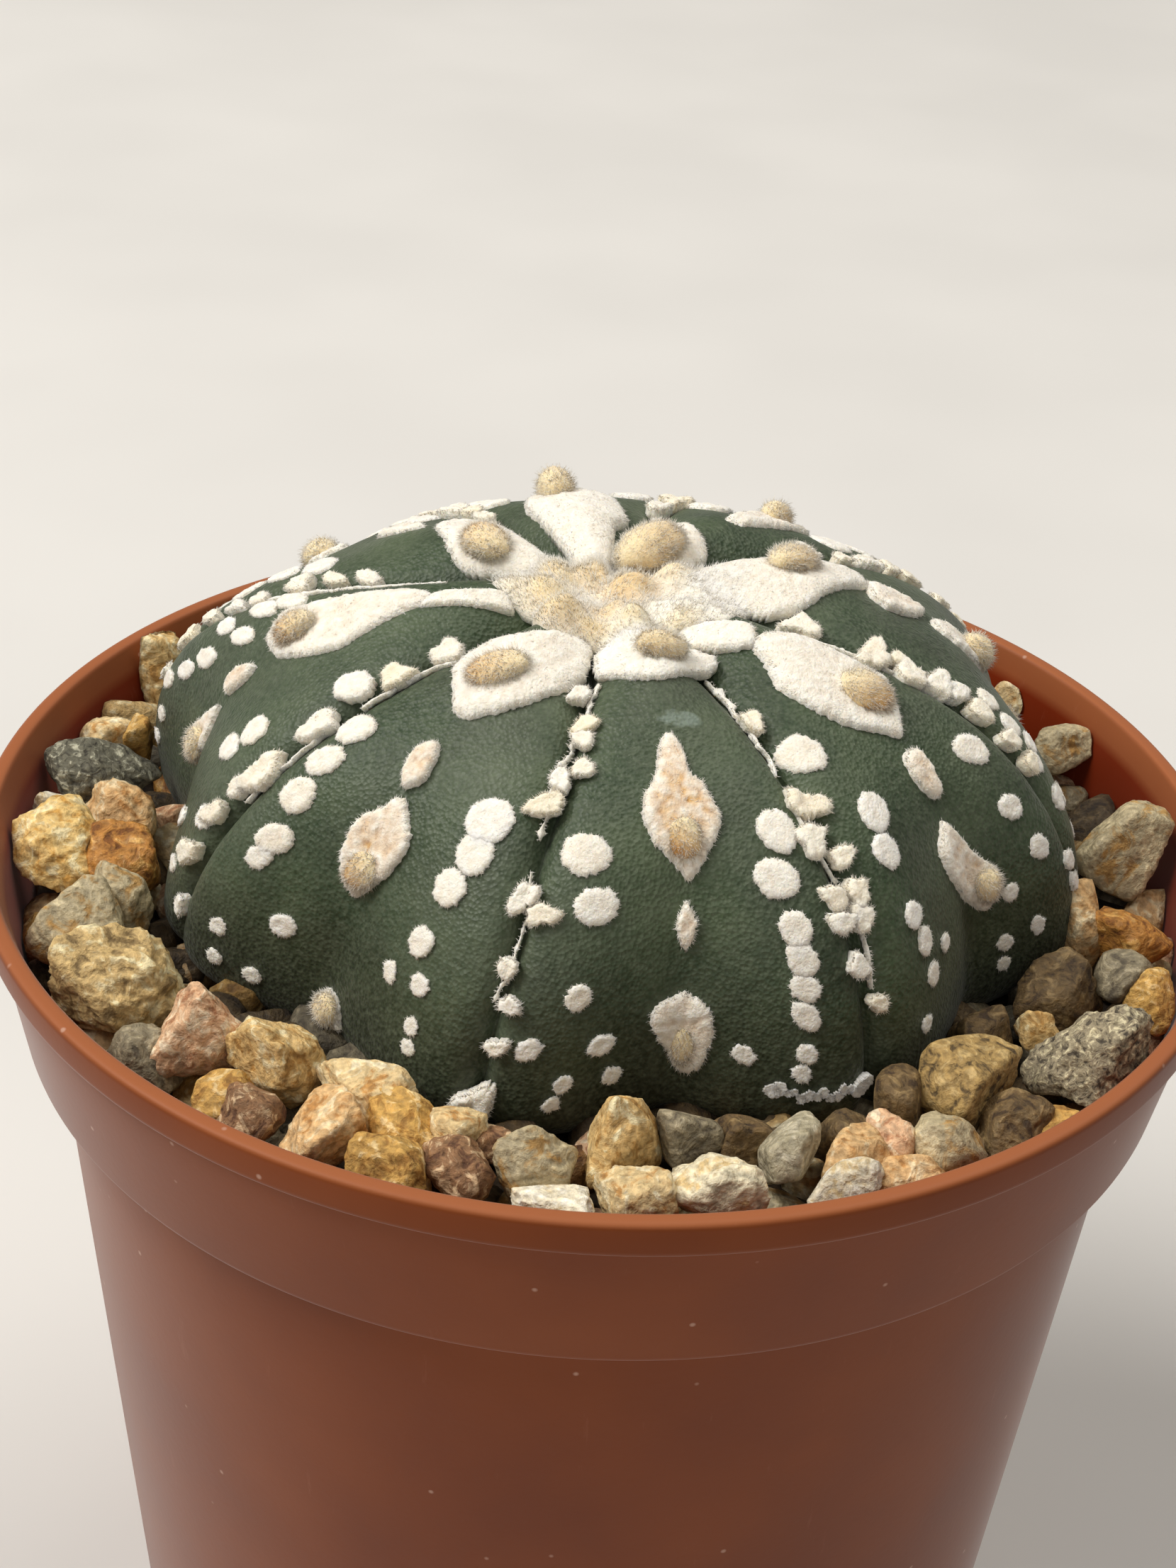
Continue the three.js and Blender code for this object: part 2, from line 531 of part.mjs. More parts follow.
// The room over the soil up to the given height, clear of the pot's wall
function cavity(low, top, clear) {
  const inset = WALL + clear;
  const bend = collarFoot + 1.2;
  const bead = POT_HEIGHT - BEAD_HEIGHT;
  const upper = Math.min(top, bead);
  const flare = ((collarTop - COLLAR_RADIUS) * (upper - bend)) / (bead - bend);
  const profile = [
    [0, low], [NECK_RADIUS - inset, low], [COLLAR_RADIUS - inset, bend],
    [COLLAR_RADIUS + flare - inset, upper],
  ];
  if (top > bead) profile.push([collarTop - inset, top]);
  return turned([...profile, [0, top]], FILL_SIDES);
}

const STONE_ROUGHNESS = 0.12; // how far a stone's corners lie in or out, as a share of its radius
const FINE_STONE = new THREE.IcosahedronGeometry(0.5, 1);
const PLAIN_STONE = new THREE.IcosahedronGeometry(0.5, 0);

// A rough stone; grow widens it for the socket that it sits in
function stoneSolid([x, y, z, length, width, height, turn], shape, seed, grow = 0) {
  const random = seeded(seed);
  const geometry = positionsOnly(shape.clone());
  const place = geometry.attributes.position;
  const point = new THREE.Vector3();
  for (let i = 0; i < place.count; i += 1) {
    point.fromBufferAttribute(place, i).multiplyScalar(1 + STONE_ROUGHNESS * (2 * random() - 1));
    place.setXYZ(i, point.x, point.y, point.z);
  }
  geometry.rotateX(random() * 6);
  geometry.scale(length + 2 * grow, width + 2 * grow, height + 2 * grow);
  geometry.rotateZ(radians(turn));
  geometry.translate(x, y, z);
  return solid(geometry);
}

// Whether a stone of this width fits between the plant and the wall and beside the others
function fits(x, y, width, taken, outline) {
  const azimuth = Math.atan2(y - PLANT_Y, x);
  const along = ({ azimuth: other }) => Math.cos(other - azimuth);
  const near = outline.reduce((best, point) => (along(point) > along(best) ? point : best));
  if (Math.hypot(x, y - PLANT_Y) < near.reach + width * 0.4) return false;
  return taken.every(([tx, ty, tw]) => Math.hypot(x - tx, y - ty) > 0.46 * (width + tw));
}

function ruledStones() {
  const random = seeded(STONE_SEED);
  const outline = skinRing(1, 0).map((point) => ({
    azimuth: Math.atan2(point.y - PLANT_Y, point.x),
    reach: Math.hypot(point.x, point.y - PLANT_Y),
  }));
  const taken = [
    ...Object.values(LOOSE_STONES).map(([x, y, , length, width]) => [x, y, (length + width) / 2]),
    ...BED_STONES,
  ];
  const stones = [];
  for (let i = 0; i < STONE_TRIES; i += 1) {
    const azimuth = 2 * Math.PI * random();
    const radius = RING_INNER + (RING_OUTER - RING_INNER) * random();
    const width = SMALLEST_STONE + (LARGEST_STONE - SMALLEST_STONE) * random();
    const x = radius * Math.cos(azimuth);
    const y = radius * Math.sin(azimuth);
    if (fits(x, y, width, taken, outline)) {
      taken.push([x, y, width]);
      stones.push([x, y, width]);
    }
  }
  return stones;
}

// A stone of the bed, sunk by a quarter of its height
function bedStone([x, y, width], seed) {
  const random = seeded(seed * 7 + 3);
  const length = width * (1.05 + 0.25 * random());
  const height = width * (0.85 + 0.25 * random());
  return [x, y, GRAVEL_TOP + height / 4, length, width, height, 360 * random()];
}

// Materials, from the photograph

const material = (color, roughness) => new THREE.MeshStandardMaterial({ color, roughness, metalness: 0 });
const LOOKS = {
  pot: material("#8a4630", 0.55),
  soil: material("#3a2c22", 0.95),
  gravel: material("#b79a63", 0.85),
  cactus: material("#3c5340", 0.6),
  wool: material("#e9dfc4", 0.95),
};
const STONE_COLOURS = {
  dark_slate: "#5a5c5c", yellow_lump: "#d8ab58", yellow_conglomerate: "#c2a766",
  pink_wedge: "#d3a07c", cream_slab: "#d8bd8c", ochre_pyramid: "#c98f3c",
  cream_quartz: "#d9c79f", grey_quartz: "#a39c8d", brown_pebble: "#8d7750",
  speckled_granite: "#8e8574", grey_ochre: "#8f8568", amber_quartz: "#b07a2e",
};

// The assembly

const cactus = new THREE.Group();

function addPart(name, manifold, look) {
  const part = new THREE.Mesh(geometryOf(manifold), look);
  part.name = name;
  cactus.add(part);
}

const room = cavity(SOIL_TOP, POT_HEIGHT + 6, GAP);
const clearOfPlant = domeSolid(PLANT_GAP).add(rootSolid(GAP));

addPart("pot", pot(), LOOKS.pot);
addPart("soil", soil(), LOOKS.soil);

const plant = allFlecks().reduce((whole, fleck) => whole.add(fleck), domeSolid().add(rootSolid()));
addPart("cactus_body", mainBody(plant), LOOKS.cactus);
addPart("crown_wool", crownWool(), LOOKS.wool);

let gravel = cavity(SOIL_TOP + GAP, GRAVEL_TOP, GAP * 1.4);
[...BED_STONES, ...ruledStones()].forEach((stone, i) => {
  gravel = gravel.add(stoneSolid(bedStone(stone, i + 1), PLAIN_STONE, 500 + i));
});
Object.entries(LOOSE_STONES).forEach(([name, stone], i) => {
  const whole = stoneSolid(stone, FINE_STONE, 900 + i).intersect(room).subtract(clearOfPlant);
  addPart(`stone_${name}`, whole, material(STONE_COLOURS[name], 0.85));
  gravel = gravel.subtract(stoneSolid(stone, FINE_STONE, 900 + i, GAP));
});
gravel = gravel.intersect(room).subtract(clearOfPlant);
addPart("gravel_bed", mainBody(gravel), LOOKS.gravel);

export default cactus;
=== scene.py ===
import math

import bmesh
import bpy
import numpy as np
from mathutils import Matrix, Vector, noise


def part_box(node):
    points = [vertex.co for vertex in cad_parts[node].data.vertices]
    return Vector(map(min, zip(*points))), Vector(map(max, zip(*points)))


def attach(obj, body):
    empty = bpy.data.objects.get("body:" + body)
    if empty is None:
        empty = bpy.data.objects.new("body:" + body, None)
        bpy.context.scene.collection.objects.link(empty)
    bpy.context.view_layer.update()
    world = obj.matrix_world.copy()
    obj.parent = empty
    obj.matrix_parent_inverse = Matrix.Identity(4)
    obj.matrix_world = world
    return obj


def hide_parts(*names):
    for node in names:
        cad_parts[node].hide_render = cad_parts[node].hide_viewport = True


MM = 0.001

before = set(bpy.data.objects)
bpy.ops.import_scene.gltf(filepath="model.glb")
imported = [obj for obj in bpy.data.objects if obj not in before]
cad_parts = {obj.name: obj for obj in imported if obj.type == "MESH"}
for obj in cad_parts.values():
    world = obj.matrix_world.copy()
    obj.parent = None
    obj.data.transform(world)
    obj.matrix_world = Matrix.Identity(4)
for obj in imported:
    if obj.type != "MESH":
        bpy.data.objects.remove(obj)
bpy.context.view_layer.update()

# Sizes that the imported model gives
pot_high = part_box("pot")[1]
RIM_RADIUS = pot_high.x / MM
POT_HEIGHT = pot_high.z / MM

# Sizes of the pot that repeat the part's own
WALL = 0.9
FOOT_RADIUS = 27.7
NECK_RADIUS = 31.4
COLLAR_HEIGHT = 10.4
COLLAR_RADIUS = 33.05
BEAD_HEIGHT = 1.9
FOOT_WIDTH = 5.2
BASE_RECESS = 1.2
DRAIN_RADIUS = 2.6
DRAIN_CIRCLE = 14
DRAIN_COUNT = 5
GRAVEL_TOP = 57.4

# Sizes of the plant that repeat the part's own
PLANT_Y = 2.2
EQUATOR = 58.2
CROWN = 75.1
RIB_LIFT = 1.0
CROWN_DIP = 0.9
CROWN_SHIFT = (-0.8, -1.0)  # the middle of the crown lies a little off the plant's own middle
VALLEY = 0.11

# Finer sizes that only this scene has
COLLAR_INSET = 0.65  # how far the bead stands out past the top of the collar
FISSURE_DEPTH = 1.25
FISSURE_WIDTH = 0.6
CREASE_DEPTH = 0.45  # of the shallow crease down the lower part of each rib
CREASE_WIDTH = 1.4
UNDERSIDE = 6.0  # from the equator down to the plant's lowest point

# Each fissure's direction in degrees, its turn up to the crown and its reach, clockwise from above
FISSURES = np.array(
    [
        (32, 2, 27.4), (-14, -3, 27.6), (-57, -3, 26.5), (-103, 8, 26.0),
        (-153, 17, 26.0), (-197, 18, 28.5), (-235, 5, 26.0), (-281, 0, 26.4),
    ],
    float,
)
CREST_SHIFT = np.array([0.06, -0.14, -0.24, -0.02, 0.03, 0.26, -0.1, -0.12])
RIBS = len(FISSURES)

# Flecks of each rib: across it, down it and width. The ribs at the back follow a rule.
FLECKS = {
    1: [
        (0.87, 0.59, 1.6), (0.9, 0.64, 1.6), (0.88, 0.69, 1.4), (0.93, 0.71, 1.2), (0.93, 0.78, 1.5),
        (0.85, 0.81, 1.3), (0.86, 0.87, 1.2), (0.86, 0.94, 1.1),
    ],
    2: [
        (0.9, 0.475, 2.5), (0.8, 0.605, 2.2), (0.83, 0.665, 1.9), (0.82, 0.77, 1.5), (0.8, 0.815, 1.5),
        (0.79, 0.87, 1.4), (0.7, 0.85, 1.1), (0.84, 0.93, 1.1), (0.22, 0.605, 2.2), (0.235, 0.72, 1.7),
        (0.19, 0.8, 1.6), (0.34, 0.855, 1.2), (0.06, 0.85, 1.3), (0.05, 0.89, 1.2), (0.37, 0.935, 1.2),
        (0.25, 0.925, 1.2), (0.37, 0.97, 1.0),
    ],
    3: [
        (0.16, 0.59, 2.3), (0.21, 0.665, 2.3), (0.185, 0.74, 1.9), (0.18, 0.785, 1.8),
        (0.18, 0.825, 1.6), (0.185, 0.865, 1.6), (0.185, 0.92, 1.2), (0.195, 0.95, 1.1),
        (0.335, 0.93, 1.3), (0.85, 0.62, 2.5), (0.79, 0.7, 2.2), (0.8, 0.83, 1.5), (0.72, 0.905, 1.4),
        (0.9, 0.9, 1.4), (0.8, 0.955, 1.1), (0.68, 0.955, 1.1), (0.82, 0.985, 1.0),
    ],
    4: [
        (0.19, 0.595, 2.6), (0.19, 0.65, 2.2), (0.22, 0.71, 2.0), (0.24, 0.8, 1.7), (0.3, 0.865, 1.2),
        (0.2, 0.855, 1.3), (0.19, 0.915, 1.1), (0.185, 0.945, 1.0), (0.87, 0.535, 2.2),
        (0.85, 0.605, 2.1), (0.83, 0.675, 2.2), (0.8, 0.755, 2.1), (0.81, 0.79, 1.6),
        (0.83, 0.925, 1.3), (0.665, 0.885, 1.6), (0.82, 0.98, 1.1), (0.71, 0.985, 1.2),
    ],
    5: [
        (0.08, 0.48, 2.2), (0.17, 0.65, 2.0), (0.2, 0.705, 1.9), (0.07, 0.8, 1.6), (0.2, 0.86, 1.3),
        (0.1, 0.91, 1.2), (0.72, 0.6, 1.8), (0.84, 0.62, 1.7), (0.85, 0.54, 2.0), (0.86, 0.49, 2.1),
        (0.74, 0.69, 1.8), (0.78, 0.745, 1.7), (0.85, 0.8, 1.5), (0.8, 0.87, 1.2), (0.82, 0.93, 1.1),
    ],
}

# Flecks in the fissure after a rib: down it, across it in millimetres and width
FISSURE_FLECKS = {
    1: [
        (0.28, 0, 1.9), (0.395, 0.4, 1.9), (0.455, 0.3, 1.6), (0.43, -0.6, 1.0), (0.5, -0.2, 1.9),
        (0.53, -0.6, 1.4), (0.575, -0.5, 1.4), (0.64, -0.4, 1.3), (0.69, -0.4, 1.2),
    ],
    2: [
        (0.395, 0, 1.2), (0.555, 0.1, 1.6), (0.61, 0.8, 1.6), (0.645, -0.5, 1.2), (0.7, -0.6, 1.3),
        (0.7, 0.8, 1.3), (0.735, -0.4, 1.3), (0.735, 0.8, 1.3), (0.8, 0.5, 1.2), (0.86, -0.3, 1.0),
    ],
    3: [
        (0.325, 0.3, 1.1), (0.39, -0.4, 1.2), (0.42, -0.5, 1.1), (0.475, -0.9, 1.1), (0.5, 0.1, 1.2),
        (0.545, 0.4, 1.5), (0.69, 0.2, 1.4), (0.71, -1.0, 1.3), (0.79, 0, 1.0), (0.84, -0.6, 1.0),
        (0.9, -0.5, 1.0), (0.995, 0, 2.2),
    ],
    4: [
        (0.33, -0.2, 1.6), (0.42, 0, 1.6), (0.565, 0, 1.7), (0.68, 0, 2.0), (0.72, 0.6, 1.2),
        (0.78, 0.9, 1.4), (0.86, 1.0, 1.6), (0.94, -0.3, 1.1),
    ],
}
HIDDEN_FISSURE_FLECKS = [
    (0.36, -0.2, 1.4), (0.42, 0.3, 1.2), (0.48, 0.2, 1.6), (0.55, -0.4, 1.2), (0.6, -0.3, 1.4),
    (0.67, 0.4, 1.3), (0.74, 0.3, 1.5), (0.83, -0.2, 1.1),
]

# Thin lines of felt along the fissures as (turn, down) points, with half their width
THREADS = [
    ([(3.03, 0.28), (3.0, 0.335), (3.02, 0.375), (3.03, 0.42), (3.02, 0.456), (3.05, 0.5)], 0.13),
    ([(3.04, 0.53), (3.05, 0.57), (3.04, 0.61), (3.02, 0.65), (3.0, 0.68)], 0.1),
    ([(3.0, 0.72), (2.98, 0.78), (2.99, 0.84)], 0.065),
    ([(3.93, 0.29), (3.98, 0.355), (4.01, 0.43), (4.02, 0.48), (4.03, 0.54), (4.02, 0.6)], 0.12),
    ([(4.01, 0.65), (3.99, 0.72), (4.0, 0.765), (4.0, 0.8), (4.01, 0.84)], 0.08),
    ([(4.86, 0.34), (4.94, 0.38), (4.95, 0.43), (4.97, 0.48), (4.95, 0.5)], 0.11),
    ([(4.97, 0.55), (4.97, 0.6), (4.96, 0.64), (4.99, 0.68), (4.98, 0.73)], 0.085),
    ([(5.6, 0.25), (5.78, 0.32), (5.86, 0.39), (5.9, 0.45), (5.97, 0.55)], 0.11),
    ([(2.08, 0.27), (2.12, 0.31), (2.07, 0.355), (2.08, 0.41), (2.05, 0.46)], 0.1),
    ([(1.0, 0.3), (1.01, 0.4), (0.99, 0.5), (1.0, 0.6)], 0.1),
    ([(0.0, 0.3), (0.01, 0.45), (-0.01, 0.6)], 0.1),
    ([(7.0, 0.25), (7.01, 0.4), (6.99, 0.55)], 0.1),
]
# A pale crust of small flakes along the plant's lower edge as (turn, down) points, and their width
CRUST = [(3.26, 0.978), (3.21, 0.984), (3.16, 0.984), (3.11, 0.982), (3.06, 0.978), (3.02, 0.97)]
CRUST_FLAKE = 0.6

# The areoles from the crown outwards: rib, outline, tuft and how tan the felt's middle is. An outline
# has (aside, down) corners, with aside in millimetres clockwise of the rib's middle. A tuft has aside,
# down, length, width, height, how brown it is and its slant in degrees.
AREOLES = [
    (0, [(-2.8, 0.2), (-2.1, 0.225), (-0.4, 0.215), (1.1, 0.2), (2.0, 0.18), (1.9, 0.12), (1.0, 0.07),
     (-0.5, 0.05), (-1.6, 0.09), (-2.5, 0.15)], (-0.1, 0.11, 4.2, 3.0, 2.6, 0.3, 20), 0.2),
    (0, [(0.3, 0.28), (1.3, 0.285), (2.1, 0.38), (2.2, 0.48), (1.0, 0.52), (-0.4, 0.42)],
     (0.6, 0.43, 2.0, 1.8, 1.8, 0.4, 0), 0.3),
    (0, [(-0.2, 0.6), (-1.2, 0.67), (-0.2, 0.75), (0.2, 0.75), (1.2, 0.67)],
     (0, 0.7, 2.0, 1.6, 1.4, 0.3, 0), 0.3),
    (0, [(-0.2, 0.84), (-1.0, 0.9), (0, 0.95), (1.0, 0.9)], (0, 0.9, 1.6, 1.3, 1.0, 0.2, 0), 0.3),
    (1, [(1.1, 0.12), (0.2, 0.1), (-1.2, 0.14), (-2.6, 0.22), (-3.3, 0.29), (-3.2, 0.36), (-2.5, 0.41),
     (-0.8, 0.4), (1.2, 0.32), (3.0, 0.275), (3.4, 0.23), (2.4, 0.16)],
     (-0.6, 0.27, 3.0, 2.3, 1.7, 0.35, -20), 0.15),
    (1, [(-1.6, 0.4), (-2.0, 0.45), (-1.6, 0.5), (-0.8, 0.52), (0.4, 0.485), (1.1, 0.42), (0.3, 0.395)],
     None, 0.4),
    (1, [(-0.5, 0.525), (-1.2, 0.58), (-1.3, 0.66), (-0.4, 0.7), (0.7, 0.65), (1.2, 0.58), (0.7, 0.53)],
     (-0.5, 0.645, 2.2, 1.9, 1.8, 0.05, 0), 0.2),
    (1, [(-0.2, 0.73), (-1.2, 0.79), (0, 0.85), (1.2, 0.79)], (0, 0.8, 1.8, 1.5, 1.3, 0.2, 0), 0.3),
    (2, [(1.1, 0.263), (-0.2, 0.267), (-1.4, 0.285), (-2.2, 0.32), (-2.8, 0.37), (-3.5, 0.425),
     (-2.7, 0.46), (-1.7, 0.495), (-0.5, 0.535), (0.1, 0.51), (1.6, 0.47), (2.5, 0.415), (2.7, 0.365),
     (2.0, 0.325), (1.4, 0.29)], (-0.9, 0.435, 2.9, 2.3, 1.3, 0.85, -25), 0.15),
    (2, [(-0.7, 0.552), (-0.8, 0.59), (-0.5, 0.65), (0.2, 0.655), (0.8, 0.61), (0.5, 0.56)], None, 0.6),
    (2, [(0.4, 0.685), (-0.1, 0.713), (-1.0, 0.77), (-2.1, 0.805), (-2.4, 0.837), (-1.8, 0.86),
     (-1.1, 0.873), (0.3, 0.833), (1.6, 0.777), (1.8, 0.725)], (-1.2, 0.82, 1.9, 1.6, 1.2, 0.3, -10),
     0.5),
    (3, [(2.9, 0.28), (2.0, 0.287), (1.0, 0.31), (-0.4, 0.315), (-2.0, 0.285), (-3.4, 0.279),
     (-3.7, 0.26), (-3.0, 0.23), (-1.6, 0.17), (1.4, 0.17), (2.6, 0.23)],
     (-0.5, 0.25, 1.8, 2.8, 1.5, 0.1, 0), 0.0),
    (3, [(0, 0.408), (-0.6, 0.444), (-0.5, 0.484), (-1.2, 0.5), (-1.5, 0.532), (-1.9, 0.564),
     (-1.8, 0.588), (-1.2, 0.624), (-0.7, 0.652), (-0.1, 0.681), (0.4, 0.652), (1.5, 0.616),
     (2.1, 0.56), (1.8, 0.524), (1.1, 0.492), (0.8, 0.444), (0.4, 0.416)],
     (0, 0.605, 2.1, 1.7, 0.7, 0.95, 0), 0.95),
    (3, [(0, 0.7), (-0.6, 0.745), (0, 0.79), (0.6, 0.745)], None, 0.5),
    (3, [(-0.1, 0.841), (-0.4, 0.853), (-1.1, 0.857), (-1.5, 0.885), (-1.6, 0.91), (-1.2, 0.958),
     (-0.8, 0.974), (0, 0.97), (0.6, 0.934), (1.6, 0.893), (1.6, 0.869), (0.9, 0.853), (0.3, 0.853)],
     (-0.2, 0.925, 1.9, 1.2, 0.6, 0.15, 0), 0.4),
    (4, [(-2.0, 0.183), (-1.2, 0.203), (0.6, 0.25), (2.3, 0.267), (2.9, 0.32), (2.8, 0.36),
     (1.6, 0.412), (0.9, 0.44), (-0.1, 0.444), (-1.2, 0.416), (-2.2, 0.383), (-3.1, 0.331),
     (-3.4, 0.283), (-2.8, 0.235)], (0.1, 0.347, 3.2, 1.9, 1.2, 0.65, 45), 0.15),
    (4, [(0.6, 0.496), (0, 0.516), (-0.4, 0.572), (0.4, 0.608), (1.1, 0.576), (1.3, 0.524)], None, 0.7),
    (4, [(0.1, 0.612), (-0.5, 0.64), (-1.4, 0.67), (-1.6, 0.7), (-1.1, 0.753), (0.1, 0.805),
     (1.2, 0.78), (1.8, 0.737), (1.8, 0.67), (0.8, 0.644), (0.5, 0.616)],
     (0.2, 0.752, 2.0, 1.7, 0.8, 0.9, 20), 0.75),
    (4, [(0.2, 0.96), (0.7, 0.99), (0.4, 1.03), (-0.8, 1.04), (-1.6, 1.03), (-1.8, 0.99), (-0.8, 0.96)],
     (-0.7, 0.985, 1.9, 1.7, 1.3, 0.0, 0), 0.0),
    (5, [(-0.7, 0.279), (0.1, 0.291), (1.0, 0.327), (2.3, 0.387), (3.0, 0.444), (3.5, 0.508),
     (1.7, 0.568), (-0.4, 0.568), (-1.8, 0.508), (-2.1, 0.456), (-1.7, 0.404), (-1.3, 0.351),
     (-1.1, 0.303)], (0.7, 0.505, 2.8, 2.2, 1.7, 0.9, -20), 0.3),
    (5, [(0.2, 0.604), (-0.4, 0.652), (0.1, 0.705), (0.9, 0.685), (1.0, 0.644)], None, 0.6),
    (5, [(0, 0.72), (-0.6, 0.76), (-1.2, 0.81), (-0.2, 0.87), (0.3, 0.87), (1.3, 0.81), (0.6, 0.76)],
     (0, 0.82, 2.2, 1.8, 1.2, 0.35, 0), 0.5),
    (6, [(0.5, 0.33), (2.4, 0.34), (3.3, 0.31), (3.3, 0.25), (1.9, 0.18), (0.6, 0.1), (-0.9, 0.09),
     (-1.5, 0.13), (-2.8, 0.21), (-2.3, 0.24), (-0.9, 0.28)], (-0.8, 0.2, 3.0, 2.3, 1.8, 0.55, 15),
     0.15),
    (6, [(0.5, 0.345), (-0.3, 0.38), (-0.2, 0.43), (0.8, 0.47), (1.6, 0.43), (1.3, 0.37)], None, 0.3),
    (6, [(-0.3, 0.54), (-1.4, 0.6), (-0.3, 0.68), (0.3, 0.68), (1.4, 0.6), (0.3, 0.54)],
     (0, 0.62, 2.4, 2.1, 1.9, 0.4, 0), 0.3),
    (6, [(-0.2, 0.8), (-1.2, 0.86), (0, 0.92), (1.2, 0.86)], (0, 0.86, 1.8, 1.5, 1.2, 0.2, 0), 0.3),
    (7, [(-2.5, 0.37), (-2.9, 0.31), (-2.2, 0.223), (-1.5, 0.138), (-1.0, 0.08), (-0.4, 0.05),
     (0.6, 0.06), (1.1, 0.118), (1.8, 0.203), (2.8, 0.24), (2.8, 0.33), (1.5, 0.37), (-0.5, 0.39)],
     (-0.7, 0.335, 2.5, 2.1, 2.4, 0.55, 0), 0.1),
    (7, [(0, 0.42), (-0.7, 0.47), (0, 0.52), (0.7, 0.47)], None, 0.4),
    (7, [(-0.3, 0.6), (-1.5, 0.67), (-0.3, 0.74), (0.3, 0.74), (1.5, 0.67), (0.3, 0.6)],
     (0, 0.7, 2.4, 1.9, 1.6, 0.4, 0), 0.3),
    (7, [(-0.2, 0.86), (-1.1, 0.9), (0, 0.94), (1.1, 0.9)], (0, 0.9, 1.6, 1.4, 1.1, 0.2, 0), 0.3),
]

# An old scar on the skin: turn, down and its reach across and down
SCAR = (3.42, 0.387, 0.17, 0.02)

# White felt that joins the star's arms to its middle: rib, and an outline like those of the areoles
CROWN_LINKS = [
    (2, [(1.7, 0.16), (0.9, 0.19), (-0.2, 0.245), (1.1, 0.28), (1.8, 0.26), (2.6, 0.21)]),
    (5, [(-1.9, 0.18), (-0.8, 0.17), (-0.4, 0.285), (-1.2, 0.32)]),
]
# How far down the star's white middle reaches, at each fissure and each rib's middle in turn
CROWN_EDGE = [
    0.06, 0.1, 0.12, 0.2, 0.2, 0.21, 0.16, 0.26, 0.2, 0.22, 0.16, 0.19, 0.12, 0.14, 0.08, 0.1,
]
# Mounds of young wool in the middle: turn, down, width, height and how brown
HUB_MOUNDS = [
    (4.53, 0.16, 2.8, 1.1, 0.25), (5.2, 0.11, 2.6, 1.0, 0.1), (6.15, 0.075, 2.2, 1.1, 0.1),
    (7.04, 0.045, 2.0, 1.2, 0.25), (1.57, 0.03, 2.4, 1.3, 0.45), (3.83, 0.1, 2.0, 0.8, 0.4),
    (4.08, 0.165, 2.0, 0.9, 0.15), (3.49, 0.15, 2.2, 0.9, 0.0), (3.4, 0.245, 2.3, 0.6, 0.2),
    (2.81, 0.155, 2.0, 0.6, 0.0), (5.4, 0.15, 1.8, 0.4, 0.0), (1.2, 0.09, 2.2, 0.9, 0.1),
]

